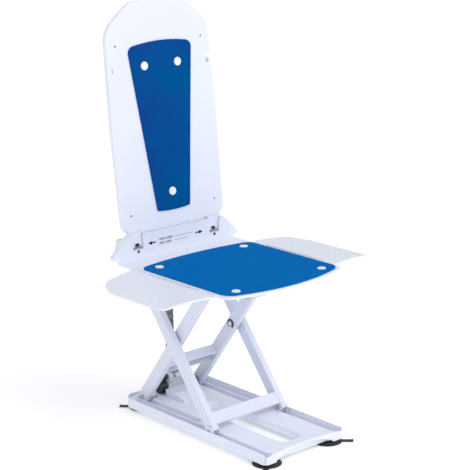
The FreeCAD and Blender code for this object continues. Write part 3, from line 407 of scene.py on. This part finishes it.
def finish(name, base, other, tone=(12, 0.5), gloss=(0.3, 0.45, 14), grain=(900, 30, 0.3),
           bump=(0.1, 0.0004), **shader):
    """Build one finish from the shared groups, with its constants on the shader itself."""
    plain = bpy.data.materials.get(name)
    if plain:
        plain.name = name + "_plain"
    material = bpy.data.materials.new(name)
    material.use_nodes = True
    tree = material.node_tree
    surface = tree.nodes["Principled BSDF"]
    groups = {}
    for group, values in (
            ("Cloudy tone", {"Base": base, "Other": other, "Scale": tone[0], "Share": tone[1]}),
            ("Handled gloss", {"Low": gloss[0], "High": gloss[1], "Scale": gloss[2]}),
            ("Surface grain", {"Fine": grain[0], "Slow": grain[1], "Slow share": grain[2]})):
        used = node(tree, "ShaderNodeGroup", node_tree=bpy.data.node_groups[group])
        for label, value in values.items():
            used.inputs[label].default_value = value
        groups[group] = used
    relief = node(tree, "ShaderNodeBump", Strength=bump[0], Distance=bump[1])
    link = tree.links.new
    link(groups["Cloudy tone"].outputs["Color"], surface.inputs["Base Color"])
    link(groups["Handled gloss"].outputs["Roughness"], surface.inputs["Roughness"])
    link(groups["Surface grain"].outputs["Height"], relief.inputs["Height"])
    link(relief.outputs["Normal"], surface.inputs["Normal"])
    for label, value in shader.items():
        surface.inputs[label.replace("_", " ")].default_value = value
    material.diffuse_color = base
    return material


def shade(colour, factor):
    return tuple(min(1, part * factor) for part in colour[:3]) + (1,)


class BATHLIFT_OT_finishes(bpy.types.Operator):
    """Make every finish and give it to the carried-over parts"""
    bl_idname = "bathlift.finishes"
    bl_label = "Finishes"

    def execute(self, context):
        colours = context.scene.lift_finishes
        tone_group()
        grain_group()
        gloss_group()
        white, coat = tuple(colours.white), tuple(colours.coat)
        blue, indigo = tuple(colours.blue), tuple(colours.indigo)
        finish("white_shell", white, shade(white, 0.965), (9, 0.6), (0.30, 0.42, 18),
               (1400, 60, 0.4), (0.16, 0.0003), Specular_IOR_Level=0.32)
        finish("white_frame", coat, shade(coat, 0.96), (16, 0.5), (0.28, 0.40, 22),
               (620, 90, 0.5), (0.22, 0.0004), Specular_IOR_Level=0.35)
        finish("seat_blue", blue, shade(blue, 0.86), (5, 0.35), (0.50, 0.62, 20),
               (2200, 160, 0.5), (0.25, 0.0004), Specular_IOR_Level=0.004)
        # The backrest pad is the same cover as the seat pad. Its blue at 0.60 with indigo clouded in is painted
        # shade for the upright pad, and the clouds also vary its tone at random
        finish("blue_pad", shade(blue, 0.60), indigo, (3.2, 0.85), (0.50, 0.62, 20),
               (2200, 160, 0.5), (0.25, 0.0004), Specular_IOR_Level=0.004)
        finish("white_stud", (0.90, 0.91, 0.94, 1), (0.86, 0.87, 0.91, 1), (40, 0.5), (0.2, 0.3, 60),
               (1500, 120, 0.3), (0.08, 0.0002))
        finish("black_rubber", (0.012, 0.012, 0.014, 1), (0.030, 0.030, 0.033, 1), (35, 0.6),
               (0.42, 0.62, 40), (1600, 200, 0.4), (0.3, 0.0003))
        finish("black_part", (0.016, 0.016, 0.018, 1), (0.032, 0.032, 0.036, 1), (50, 0.5),
               (0.30, 0.46, 60), (1800, 200, 0.3), (0.2, 0.0003))
        finish("steel", (0.60, 0.60, 0.62, 1), (0.42, 0.42, 0.44, 1), (60, 0.6), (0.22, 0.40, 90),
               (900, 160, 0.5), (0.1, 0.0002), Metallic=1.0)
        finish("dark_steel", (0.24, 0.22, 0.24, 1), (0.12, 0.105, 0.115, 1), (80, 0.7),
               (0.26, 0.44, 70), (700, 160, 0.5), (0.15, 0.0003), Metallic=0.85)
        finish("grey_plastic", (0.48, 0.49, 0.52, 1), (0.40, 0.41, 0.44, 1), (40, 0.5),
               (0.35, 0.5, 50), (1500, 160, 0.3), (0.15, 0.0003))
        finish("cast_grey", (0.66, 0.67, 0.71, 1), (0.52, 0.53, 0.57, 1), (45, 0.6),
               (0.38, 0.55, 60), (520, 110, 0.5), (0.35, 0.0006), Metallic=0.3)
        finish("print_black", (0.010, 0.010, 0.012, 1), (0.02, 0.02, 0.022, 1), (90, 0.4),
               (0.4, 0.5, 60), (1500, 160, 0.3), (0.05, 0.0001))
        finish("print_grey", (0.36, 0.37, 0.42, 1), (0.42, 0.43, 0.48, 1), (90, 0.4),
               (0.4, 0.5, 60), (1500, 160, 0.3), (0.05, 0.0001))
        slots = {part["node"]: part["material_slot"] for part in RECORD["subparts"]}
        for name, part in frame["nodes"].items():
            for place in part.material_slots:
                place.material = bpy.data.materials[slots[name]]
        return {"FINISHED"}


# Soft pads -----------------------------------------------------------------------------------
def rounded(u, v, half_wide, half_long, radius):
    """Move a point of the square -1..1 so that the square's corners become round."""
    past_u = (abs(u) * half_wide - (half_wide - radius)) / radius
    past_v = (abs(v) * half_long - (half_long - radius)) / radius
    if past_u <= 0 or past_v <= 0:
        return u, v
    bent_u = past_u * math.sqrt(1 - past_v * past_v / 2)
    bent_v = past_v * math.sqrt(1 - past_u * past_u / 2)
    return (math.copysign((half_wide - radius + radius * bent_u) / half_wide, u),
            math.copysign((half_long - radius + radius * bent_v) / half_long, v))


def pad_blank(name, wide, long, thick, outline):
    """A closed sheet of even quads with the pad's outline, its underside at height 0."""
    step = bpy.context.scene.lift_pads.mesh_step
    piece = start(name, bpy.ops.mesh.primitive_grid_add, x_subdivisions=round(wide / step),
                  y_subdivisions=round(long / step), size=2)
    for vertex in piece.data.vertices:
        x, y = outline(vertex.co.x, vertex.co.y)
        vertex.co = (x, y, thick)
    add_modifier(piece, "SOLIDIFY", thickness=thick, offset=-1)
    return piece


def swell(piece, held, cap):
    """Blow the pad up as cloth, held where a test says so, and limit how far a point goes."""
    rest = [vertex.co.copy() for vertex in piece.data.vertices]
    fixed = piece.vertex_groups.new(name="held")
    fixed.add([number for number, spot in enumerate(rest) if held(spot)], 1.0, "REPLACE")
    cloth = piece.modifiers.new("Cloth", "CLOTH")
    cloth.settings.quality = 4
    cloth.settings.mass = 0.3
    cloth.settings.tension_stiffness = 12
    cloth.settings.compression_stiffness = 12
    cloth.settings.bending_stiffness = 2
    cloth.settings.vertex_group_mass = fixed.name
    cloth.settings.use_pressure = True
    cloth.settings.uniform_pressure_force = 4
    cloth.settings.effector_weights.gravity = 0
    cloth.collision_settings.use_collision = False
    cloth.point_cache.frame_end = CLOTH_FRAMES
    scene = bpy.context.scene
    for number in range(1, CLOTH_FRAMES + 1):
        scene.frame_set(number)
    pick(piece)
    bpy.ops.object.modifier_apply(modifier=cloth.name)
    scene.frame_set(1)
    for vertex, before in zip(piece.data.vertices, rest):
        moved = vertex.co - before
        vertex.co = before + moved * (cap / (cap + moved.length))
    piece.vertex_groups.clear()


def by_stud(spot, studs):
    """Tell whether a point lies under or close beside a stud."""
    pads = bpy.context.scene.lift_pads
    reach = pads.stud_radius + pads.stud_border
    return any(math.hypot(spot.x - x, spot.y - y) < reach for x, y in studs)


def ramp(value, low, high):
    """Rise smoothly from 0 at low to 1 at high."""
    share = min(1, max(0, (value - low) / (high - low)))
    return share * share * (3 - 2 * share)


def finish_pad(piece, thick, studs, groove=None, soft_edge=0.006):
    """Smooth a swollen pad, press its grooves and dimple it under each stud."""
    pads = bpy.context.scene.lift_pads
    add_modifier(piece, "SUBSURF", levels=1, render_levels=1)
    for vertex in piece.data.vertices:
        spot = vertex.co
        share = ramp(spot.z, thick * 0.35, thick * 0.7)
        if share == 0:
            continue
        drop = groove(spot) if groove else 0
        for x, y in studs:
            away = math.hypot(spot.x - x, spot.y - y)
            drop = max(drop, pads.dimple * (1 - ramp(away, pads.stud_radius + 0.0004,
                                                     pads.stud_radius + soft_edge)))
        spot.z -= drop * share
    smooth(piece, 60)


def stud(name, radius, tall):
    """A domed white stud with a fine rim."""
    return lathe(name, [(0, 0), (radius * 0.96, 0), (radius, tall * 0.25), (radius, tall * 0.55),
                        (radius * 0.93, tall * 0.85), (radius * 0.80, tall * 0.93),
                        (radius * 0.76, tall * 0.86), (radius * 0.45, tall * 0.97), (0, tall)], 40)


class BATHLIFT_OT_seat_pad(bpy.types.Operator):
    """Make the soft seat pad and its four studs"""
    bl_idname = "bathlift.seat_pad"
    bl_label = "Seat pad"

    held_edge: length("Held edge", 0.004, "Side border that doesn't swell")

    def execute(self, context):
        pads = context.scene.lift_pads
        low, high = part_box("seat_pad")
        thick = high.z - low.z - pads.sink
        half = high.x
        front, rear = low.y + pads.seat_front_bow, high.y - pads.seat_rear_bow
        half_long = (rear - front) / 2

        def outline(u, v):
            u, v = rounded(u, v, half, half_long, pads.seat_corner)
            near = front - pads.seat_front_bow * (1 - u * u)
            far = rear + pads.seat_rear_bow * (1 - u * u)
            return u * half, near + (far - near) * (v + 1) / 2

        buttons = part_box("seat_buttons")
        inset = pads.stud_radius
        studs = [(x, y) for x in (buttons[0].x + inset, buttons[1].x - inset)
                 for y in (buttons[0].y + inset, buttons[1].y - inset)]
        pad = pad_blank("seat_cover", high.x - low.x, high.y - low.y, thick, outline)
        swell(pad, lambda spot: spot.z < thick / 2 or abs(spot.x) > half - self.held_edge
              or by_stud(spot, studs), pads.swell)

        def arcs(spot):
            drop = 0
            for side in (-1, 1):
                away = math.hypot(spot.x - side * half, spot.y - pads.arc_middle)
                line = abs(away - pads.arc_radius)
                bearing = math.degrees(math.atan2(pads.arc_middle - spot.y, half - side * spot.x))
                fade = ramp(bearing, -32, -10) * (1 - ramp(bearing, 60, 84))
                drop = max(drop, pads.arc_depth * fade * (1 - ramp(line, 0.0006, pads.arc_width)))
            centre = math.hypot(spot.x - pads.dot_x, spot.y - pads.dot_y)
            return max(drop, pads.dot_depth * (1 - ramp(centre, pads.dot_radius * 0.3, pads.dot_radius)))

        finish_pad(pad, thick, studs, arcs)
        pad.data.transform(Matrix.Translation((0, 0, low.z)))
        ready(pad, "seat", "blue_pad", "seat_blue", "seat_pad")
        button = stud("seat_studs", pads.stud_radius, buttons[1].z - buttons[0].z + 0.0004)
        whole = copy_to(button, [Matrix.Translation((x, y, buttons[0].z)) for x, y in studs])
        smooth(whole, 50)
        ready(whole, "seat", "white_stud", "white_stud", "seat_buttons")
        return {"FINISHED"}


class BATHLIFT_OT_back_pad(bpy.types.Operator):
    """Make the tapering backrest pad and its three studs"""
    bl_idname = "bathlift.back_pad"
    bl_label = "Back pad"

    bottom: length("Bottom", 0.069, "Low edge's middle above the hinge")
    top: length("Top", 0.521, "High edge's middle above the hinge")
    thickness: length("Thickness", 0.005, "Thickness of the pad")
    top_corner: length("Top corner", 0.018, "Radius of the high corners")
    low_corner: length("Low corner", 0.008, "Radius of the low corners")
    stud_tall: length("Stud height", 0.0044, "Height of a stud")
    soft_edge: length("Soft edge", 0.009, "Width of the dimple round a stud")
    low_half: length("Low half", 0.055, "Half width at the low corners")
    low_bow: length("Low bow", 0.004, "How far the low edge bows out")
    high_bow: length("High bow", 0.011, "How far the high edge bows out")
    face: length("Face", 0.016, "Backrest face in front of the hinge line")
    side: length("Stud side", 0.055, "Sideways place of the high studs")
    stud_high: length("High studs", 0.459, "Height of the two high studs")
    stud_low: length("Low stud", 0.119, "Height of the low stud")

    def execute(self, context):
        pads = context.scene.lift_pads
        thick = self.thickness - pads.sink
        high_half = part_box("back_pad")[1].x
        low, high = self.bottom + self.low_bow, self.top - self.high_bow
        studs = [(-self.side, self.stud_high), (self.side, self.stud_high), (0, self.stud_low)]

        def outline(u, v):
            corner = self.top_corner if v > 0 else self.low_corner
            u, v = rounded(u, v, high_half, (high - low) / 2, corner)
            near = low - self.low_bow * (1 - u * u)
            far = high + self.high_bow * (1 - u * u)
            share = (v + 1) / 2
            wide = self.low_half + (high_half - self.low_half) * share
            return u * wide, near + (far - near) * share

        pad = pad_blank("back_cover", high_half * 2, self.top - self.bottom, thick, outline)
        swell(pad, lambda spot: spot.z < thick / 2 or by_stud(spot, studs), pads.swell)
        finish_pad(pad, thick, studs, soft_edge=self.soft_edge)
        upright = Matrix.Rotation(math.pi / 2, 4, "X")
        stand = back_frame() @ Matrix.Translation((0, -self.face, 0)) @ upright
        pad.data.transform(stand)
        ready(pad, "backrest", "blue_pad", "blue_pad", "back_pad")
        button = stud("back_studs", pads.stud_radius, self.stud_tall)
        whole = copy_to(button, [stand @ Matrix.Translation((x, y, 0)) for x, y in studs])
        smooth(whole, 50)
        ready(whole, "backrest", "white_stud", "white_stud", "back_buttons")
        return {"FINISHED"}


# Moulded grip --------------------------------------------------------------------------------
def pip(name, length, width, height):
    """One low non-slip pip, narrower at its top."""
    piece = slab(name, (-length / 2, -width / 2, -height), (length / 2, width / 2, height))
    edit(piece)
    choose(piece, "verts", lambda spot: spot.co.z > 0)
    bpy.ops.transform.resize(value=(0.62, 0.42, 1))
    leave()
    return piece


def staggered(low_u, high_u, low_v, high_v, pitch):
    """Places of rows of pips, every second row moved half a step."""
    row_gap = pitch * 0.62
    for row in range(int((high_v - low_v) / row_gap) + 1):
        start_u = low_u + (pitch / 2 if row % 2 else 0)
        for step in range(int((high_u - start_u) / pitch) + 1):
            yield start_u + step * pitch, low_v + row * row_gap


def dress(name, places, tree, margin, towards, body, height):
    """Stand pips on a surface wherever a plain border is left round them."""
    grip = bpy.context.scene.lift_grip
    ray = -Vector(towards)
    side = ray.orthogonal().normalized()
    up = ray.cross(side)
    spots = []
    for place in places:
        hit, facing, _, _ = tree.ray_cast(place, ray)
        if hit is None or facing.dot(ray) > -SHOWN:
            continue
        around = [tree.ray_cast(place + way * margin, ray) for way in (side, -side, up, -up)]
        if all(found[0] is not None and found[1].dot(ray) < -SHOWN
               and abs((found[0] - hit).dot(ray)) < margin * 0.6 for found in around):
            turn = Vector(towards).rotation_difference(facing).to_matrix().to_4x4()
            stand = Vector((0, 0, 1)).rotation_difference(Vector(towards)).to_matrix().to_4x4()
            spots.append(Matrix.Translation(hit) @ turn @ stand)
    whole = copy_to(pip(name, grip.length, grip.width, height), spots)
    smooth(whole, 70)
    return ready(whole, body, "white_shell", "white_shell")


class BATHLIFT_OT_flap_grip(bpy.types.Operator):
    """Stand rows of non-slip pips on both side flaps"""
    bl_idname = "bathlift.flap_grip"
    bl_label = "Flap grip"

    def execute(self, context):
        grip = context.scene.lift_grip
        for side in ("left", "right"):
            low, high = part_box("flap_" + side)
            places = [Vector((x, y, high.z + 0.1))
                      for x, y in staggered(low.x, high.x, low.y, high.y, grip.pitch)]
            dress("flap_grip_" + side, places, node_tree("flap_" + side), grip.margin, (0, 0, 1),
                  side + "_flap", grip.height)
        return {"FINISHED"}


class BATHLIFT_OT_back_grip(bpy.types.Operator):
    """Stand fainter pips on the margins of the backrest beside its pad"""
    bl_idname = "bathlift.back_grip"
    bl_label = "Back grip"

    border: length("Border", 0.012, "Plain border beside the pad")
    half_wide: length("Half width", 0.172, "Half width of the rows of pips")
    first_row: length("First row", 0.045, "Height of the lowest row")
    last_row: length("Last row", 0.545, "Height of the highest row")
    pad_foot: length("Pad foot", 0.060, "Height below which the rows run across")
    pad_low: bpy.props.FloatVectorProperty(name="Pad low corner", description="Half width and height",
                                           size=2, default=(0.055, 0.073), unit="LENGTH")
    pad_high: bpy.props.FloatVectorProperty(name="Pad high corner", description="Half width and height",
                                            size=2, default=(0.108, 0.510), unit="LENGTH")

    def execute(self, context):
        grip = context.scene.lift_grip
        stand = back_frame()
        towards = stand.to_3x3() @ Vector((0, -1, 0))
        places = []
        (low_half, low), (high_half, high) = self.pad_low, self.pad_high
        slope = (high_half - low_half) / (high - low)
        for u, v in staggered(-self.half_wide, self.half_wide, self.first_row, self.last_row,
                              grip.pitch * 1.15):
            pad_half = low_half + slope * (v - low) + self.border
            if abs(u) > pad_half or v < self.pad_foot:
                places.append(stand @ Vector((u, -0.2, v)))
        dress("back_grip", places, node_tree("backrest_shell"), grip.margin * 1.2, towards,
              "backrest", grip.height * 0.55)
        return {"FINISHED"}


# Printed marks -------------------------------------------------------------------------------
def arrow(name, spot, way, long, tall):
    """A flat arrow along X on a face that looks forwards."""
    x, y, z = spot
    shaft = slab(name + "_shaft", (x - long / 2, y - PRINT, z - tall * 0.16),
                 (x + long * 0.1, y + PRINT, z + tall * 0.16))
    head = slab(name + "_head", (x, y - PRINT, z - tall / 2), (x + long / 2, y + PRINT, z + tall / 2))
    edit(head)
    choose(head, "verts", lambda spot: spot.co.x > x + long * 0.25)
    bpy.ops.transform.resize(value=(1, 1, 0), center_override=(x, y, z))
    bpy.ops.mesh.remove_doubles(threshold=1e-6)
    leave()
    mark = join(name, shaft, head)
    if way < 0:
        home = Matrix.Translation(spot)
        mark.data.transform(home @ Matrix.Rotation(math.pi, 4, "Y") @ home.inverted())
    return mark


class BATHLIFT_OT_markings(bpy.types.Operator):
    """Print the release arrows and plain bars on the hinge block"""
    bl_idname = "bathlift.markings"
    bl_label = "Markings"

    arrow_side: length("Arrow side", 0.082, "Sideways place of an arrow's middle")
    rise: length("Rise", 0.035, "Height above the block's foot")

    def execute(self, context):
        low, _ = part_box("hinge_block")
        face, level = low.y, low.z + self.rise
        arrows = [arrow("arrow_left", (-self.arrow_side - 0.003, face, level), -1, 0.026, 0.011),
                  arrow("arrow_right", (self.arrow_side - 0.006, face, level), 1, 0.026, 0.011)]
        squares = [slab("square", (x - 0.0035, face - PRINT, level - 0.019),
                        (x + 0.0035, face + PRINT, level - 0.012)) for x in (-0.130, 0.130)]
        ready(join("release_arrows", *arrows, *squares), "seat", "black_part", "print_black")
        bars = []
        for first, last, shift, tall in (
                (-0.010, 0.052, 0.004, 0.0007), (-0.008, 0.036, -0.006, 0.0007),
                (-0.060, -0.040, 0.005, 0.0030), (-0.036, -0.016, 0.005, 0.0030),
                (-0.060, -0.042, -0.006, 0.0030), (-0.038, -0.020, -0.006, 0.0030)):
            z = level + shift
            bars.append(slab("bar", (first, face - PRINT, z - tall), (last, face + PRINT, z + tall)))
        ready(join("release_bars", *bars), "seat", "grey_plastic", "print_grey")
        return {"FINISHED"}


# Cups, chain and fittings --------------------------------------------------------------------
class BATHLIFT_OT_suction_cups(bpy.types.Operator):
    """Make the four suction cups with flared lips and release tabs"""
    bl_idname = "bathlift.suction_cups"
    bl_label = "Suction cups"

    def execute(self, context):
        fit = context.scene.lift_fittings
        for corner in ("front_left", "front_right", "rear_left", "rear_right"):
            low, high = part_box("suction_cup_" + corner)
            side = math.copysign(1, low.x + high.x)
            end = math.copysign(1, low.y + high.y)
            near_x, near_y = min(abs(low.x), abs(high.x)), min(abs(low.y), abs(high.y))
            spot = Vector((side * (near_x + fit.cup_radius), end * (near_y + fit.cup_radius), 0))
            reach = (max(abs(low.x), abs(high.x)) - abs(spot.x)) * math.sqrt(2) - fit.tab_width / 2
            r, neck = fit.cup_radius, fit.cup_neck
            cup = lathe("cup_" + corner, [
                (0, 0.0045), (r * 0.35, 0.0040), (r * 0.65, 0.0022), (r * 0.90, 0.0003), (r * 0.98, 0),
                (r, 0.0006), (r * 0.995, 0.0014), (r * 0.92, 0.0026), (r * 0.80, 0.0046),
                (r * 0.66, 0.0060), (r * 0.64, 0.0068), (r * 0.60, 0.0070), (r * 0.58, 0.0064),
                (r * 0.44, 0.0074), (r * 0.42, 0.0080), (r * 0.34, 0.0084), (neck * 1.06, 0.0088),
                (neck, 0.0094), (neck, 0.0136), (neck * 0.86, 0.0145), (0, 0.0145)], 64)
            tab = slab("tab", (r * 0.86, -fit.tab_width / 2, 0.0006), (reach, fit.tab_width / 2, 0.0030),
                       0.0010)
            bead = slab("bead", (reach - 0.0050, -fit.tab_width / 2, 0.0024),
                        (reach - 0.0012, fit.tab_width / 2, 0.0044), 0.0009)
            whole = join("cup_" + corner, cup, tab, bead)
            turn = Matrix.Rotation(math.atan2(end, side), 4, "Z")
            whole.data.transform(Matrix.Translation(spot) @ turn)
            smooth(whole, 35)
            ready(whole, "base", "black_rubber", "black_rubber", "suction_cup_" + corner)
        return {"FINISHED"}


class BATHLIFT_OT_push_chain(bpy.types.Operator):
    """Stack the links of the chain that pushes the seat up"""
    bl_idname = "bathlift.push_chain"
    bl_label = "Push chain"

    def execute(self, context):
        fit = context.scene.lift_fittings
        low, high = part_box("push_chain")
        count = round((high.z - low.z) / fit.link_pitch)
        pitch = (high.z - low.z) / count
        half_x, half_y, half_z = (high.x - low.x) / 2, (high.y - low.y) / 2, pitch / 2
        plate = half_x * 0.26
        core = slab("core", (plate - half_x, 0.0008 - half_y, 0.0002 - half_z),
                    (half_x - plate, half_y - 0.0008, half_z - 0.0002), 0.0008, 2)
        for way in (-1, 1):
            press_in(core, Vector((0, way, 0)), 0.0022, 0.0012)
        inner = half_x - plate - 0.0004
        plates = [slab("plate", (low_x, -half_y, 0.0005 - half_z), (high_x, half_y, half_z - 0.0005),
                       0.0018, 3) for low_x, high_x in ((-half_x, -inner), (inner, half_x))]
        pins = []
        for side in (-1, 1):
            head = lathe("rivet", [(0, -0.0010), (0.0030, -0.0010), (0.0030, 0.0003), (0.0022, 0.0007),
                                   (0, 0.0007)], 20)
            head.data.transform(aim((side * (half_x - 0.0008), 0, 0), (side, 0, 0)))
            pins.append(head)
        link = join("push_links", core, *plates, *pins)
        spot = middle("push_chain")
        chain = copy_to(link, [Matrix.Translation((spot.x, spot.y, low.z + pitch * (number + 0.5)))
                               for number in range(count)])
        smooth(chain, 35)
        ready(chain, "base", "dark_steel", "dark_steel", "push_chain")
        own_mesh(chain)
        return {"FINISHED"}


def screw(name, radius, tall):
    """A small pan head with a round, conical socket."""
    return lathe(name, [(0, 0), (radius, 0), (radius, tall * 0.55), (radius * 0.86, tall * 0.9),
                        (radius * 0.62, tall), (radius * 0.5, tall), (radius * 0.42, tall * 0.45),
                        (0, tall * 0.40)], 18)


class BATHLIFT_OT_pivot_clips(bpy.types.Operator):
    """Make the open retaining rings on the middle pivots"""
    bl_idname = "bathlift.pivot_clips"
    bl_label = "Pivot clips"

    def execute(self, context):
        fit = context.scene.lift_fittings
        low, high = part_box("retaining_washers")
        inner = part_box("inner_arm_right")[0].x
        radius, thick = (high.z - low.z) / 2, fit.clip_thickness
        spot = middle("retaining_washers")
        rings = []
        for side in (-1, 1):
            ring = lathe("clip", [(radius * 0.66, 0), (radius, 0), (radius, thick * 0.9),
                                  (radius * 0.94, thick), (radius * 0.72, thick),
                                  (radius * 0.66, thick * 0.9), (radius * 0.66, 0)],
                         56, TURN * fit.clip_share)
            edit(ring)
            choose(ring, "edges", lambda edge: edge.is_boundary)
            bpy.ops.mesh.edge_face_add()
            bpy.ops.mesh.select_all(action="SELECT")
            bpy.ops.mesh.normals_make_consistent(inside=False)
            leave()
            gap = Matrix.Rotation(math.radians(150 if side > 0 else 30), 4, "Z")
            ring.data.transform(aim((side * inner, spot.y, spot.z), (-side, 0, 0)) @ gap)
            rings.append(ring)
        whole = join("pivot_clips", *rings)
        smooth(whole, 40)
        ready(whole, "inner_frame", "black_part", "black_part", "retaining_washers")
        return {"FINISHED"}


class BATHLIFT_OT_screws(bpy.types.Operator):
    """Drive the small screws at the feet, the drive and the base channels"""
    bl_idname = "bathlift.screws"
    bl_label = "Screws"

    def execute(self, context):
        radius = context.scene.lift_fittings.screw_radius
        foot = middle("foot_pin_right")
        top = middle("top_pin_right")
        along = Vector((0, top.y - foot.y, top.z - foot.z)).normalized()
        out = Vector((0, -along.z, along.y))
        tree = node_tree("outer_arm_right")
        arm = middle("outer_arm_right").x
        start_at = Vector((arm, foot.y, foot.z)) - along * 0.010
        hit = tree.ray_cast(start_at + out * 0.1, -out)[0]
        places = []
        for side in (-1, 1):
            for shift in (-0.004, 0.004):
                spot = Vector((side * (arm + shift), hit.y, hit.z))
                places.append(aim(spot, out))
        feet = copy_to(screw("foot_screws", radius * 0.55, 0.0016), places)
        smooth(feet, 35)
        ready(feet, "outer_frame", "black_part", "black_part")
        low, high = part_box("drive_housing")
        places = [aim((x, low.y, z), (0, -1, 0)) for x in (low.x + 0.006, high.x - 0.006)
                  for z in (low.z + 0.008, high.z - 0.016)]
        places += [aim((low.x + inset, high.y - 0.010, high.z), (0, 0, 1)) for inset in (0.008, 0.044)]
        drive = copy_to(screw("drive_screws", radius * 0.8, 0.0022), places)
        smooth(drive, 35)
        ready(drive, "base", "dark_steel", "steel")
        deck = node_tree("base_plate")
        places = []
        for side in (-1, 1):
            for x in (0.1015, 0.0695):
                for y in (-0.230, -0.130, 0.010, 0.120):
                    hit = deck.ray_cast(Vector((side * x, y, 0.1)), Vector((0, 0, -1)))[0]
                    if hit is not None:
                        places.append(aim(hit, (0, 0, 1)))
        rivets = copy_to(screw("deck_rivets", radius * 0.55, 0.0009), places)
        smooth(rivets, 35)
        ready(rivets, "base", "white_shell", "white_shell")
        return {"FINISHED"}


class BATHLIFT_OT_drive_fittings(bpy.types.Operator):
    """Build the shaft, collars and knobs round the foot of the chain"""
    bl_idname = "bathlift.drive_fittings"
    bl_label = "Drive fittings"

    def execute(self, context):
        low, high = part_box("drive_housing")
        level = high.z + 0.004
        front = low.y + 0.004
        shaft = lathe("drive_shaft", [(0, 0), (0.0030, 0), (0.0034, 0.0006), (0.0034, 0.0020),
                                      (0.0026, 0.0024), (0.0026, 0.0636), (0.0034, 0.0640),
                                      (0.0034, 0.0654), (0.0030, 0.0660), (0, 0.0660)], 24)
        shaft.data.transform(aim((-0.033, front, level), (1, 0, 0)))
        smooth(shaft, 35)
        ready(shaft, "base", "steel", "steel")
        knobs = []
        for side, reach, wide in ((-1, 0.038, 0.0085), (1, 0.034, 0.0070)):
            knob = lathe("drive_knob", [(0, 0), (wide * 0.9, 0), (wide, 0.0010), (wide, 0.0080),
                                        (wide * 0.86, 0.0098), (wide * 0.5, 0.0104),
                                        (wide * 0.42, 0.0092), (0, 0.0092)], 28)
            knob.data.transform(aim((side * (reach - 0.006), front, level - 0.002), (side, 0, 0)))
            knobs.append(knob)
        knobs.append(slab("drive_foot", (-0.036, front - 0.006, low.z),
                          (-0.022, front + 0.004, low.z + 0.010), 0.0014))
        whole = join("drive_knobs", *knobs)
        smooth(whole, 35)
        ready(whole, "base", "black_part", "black_part")
        blocks = []
        for x, wide, tall in ((-0.020, 0.012, 0.014), (0.004, 0.016, 0.010), (0.022, 0.010, 0.016)):
            block = slab("drive_block", (x - wide / 2, front - 0.008, high.z - 0.004),
                         (x + wide / 2, front + 0.006, high.z - 0.004 + tall), 0.0016)
            press_in(block, Vector((0, -1, 0)), 0.0022, 0.0012)
            blocks.append(block)
        whole = join("drive_blocks", *blocks)
        smooth(whole, 35)
        ready(whole, "base", "white_frame", "white_frame")
        return {"FINISHED"}


# Stage ---------------------------------------------------------------------------------------
class BATHLIFT_OT_stage(bpy.types.Operator):
    """Set the floor, lights and camera"""
    bl_idname = "bathlift.stage"
    bl_label = "Stage"

    def execute(self, context):
        scene = context.scene
        floor = start("floor", bpy.ops.mesh.primitive_plane_add, size=70, location=(0, 0, -0.0005))
        bake_in(floor)
        material = bpy.data.materials.new("floor_white")
        material.use_nodes = True
        surface = material.node_tree.nodes["Principled BSDF"]
        surface.inputs["Base Color"].default_value = (0.96, 0.96, 0.965, 1)
        surface.inputs["Roughness"].default_value = 0.9
        surface.inputs["Specular IOR Level"].default_value = 0.1
        surface.inputs["Emission Color"].default_value = (0.98, 0.985, 1, 1)
        surface.inputs["Emission Strength"].default_value = 0.24
        floor.data.materials.append(material)
        world = bpy.data.worlds.new("studio")
        world.use_nodes = True
        sky = world.node_tree.nodes["Background"]
        sky.inputs["Color"].default_value = (0.955, 0.97, 1, 1)
        sky.inputs["Strength"].default_value = 0.61
        scene.world = world
        for name, towards, power, spread in (
                ("key", (-0.30, 0.78, -0.70), 1.15, 50),
                ("fill", (0.85, 0.35, -0.45), 0.4, 70),
                ("rim", (-0.20, -0.70, -0.70), 0.2, 60)):
            light = bpy.data.lights.new(name, "SUN")
            light.energy = power
            light.angle = math.radians(spread)
            lamp = bpy.data.objects.new(name, light)
            lamp.rotation_euler = Vector(towards).to_track_quat("-Z", "Y").to_euler()
            scene.collection.objects.link(lamp)
        view = bpy.data.cameras.new("camera")
        view.lens = 120.6
        view.sensor_width = 36
        view.shift_x = -0.0136
        view.shift_y = 0.0239
        camera = bpy.data.objects.new("camera", view)
        spot, aim = Vector((-2.5185, -3.0233, 1.5594)), Vector((0.03975, -0.01486, 0.4873))
        look = (aim - spot).to_track_quat("-Z", "Y").to_matrix().to_4x4()
        camera.matrix_world = (Matrix.Translation(spot) @ look
                               @ Matrix.Rotation(math.radians(-1.3), 4, "Z"))
        scene.collection.objects.link(camera)
        scene.camera = camera
        scene.view_settings.view_transform = "Standard"
        return {"FINISHED"}


class BATHLIFT_PT_panel(bpy.types.Panel):
    """Lists the lift's makers"""
    bl_idname = "BATHLIFT_PT_panel"
    bl_label = "Bath lift"
    bl_space_type = "VIEW_3D"
    bl_region_type = "UI"
    bl_category = "Bath lift"

    def draw(self, context):
        for operator in STEPS:
            self.layout.operator(operator.bl_idname)


STEPS = (BATHLIFT_OT_finishes, BATHLIFT_OT_seat_pad, BATHLIFT_OT_back_pad, BATHLIFT_OT_flap_grip,
         BATHLIFT_OT_back_grip, BATHLIFT_OT_markings, BATHLIFT_OT_suction_cups,
         BATHLIFT_OT_push_chain, BATHLIFT_OT_pivot_clips, BATHLIFT_OT_screws,
         BATHLIFT_OT_drive_fittings, BATHLIFT_OT_stage)
CLASSES = (*SETTINGS.values(), *STEPS, BATHLIFT_PT_panel)


def register():
    for item in CLASSES:
        bpy.utils.register_class(item)
    for name, kind in SETTINGS.items():
        setattr(bpy.types.Scene, name, bpy.props.PointerProperty(type=kind))


def unregister():
    for name in SETTINGS:
        delattr(bpy.types.Scene, name)
    for item in reversed(CLASSES):
        bpy.utils.unregister_class(item)


def main():
    register()
    for operator in STEPS:
        group, name = operator.bl_idname.split(".")
        getattr(getattr(bpy.ops, group), name)()


if __name__ == "__main__":
    main()
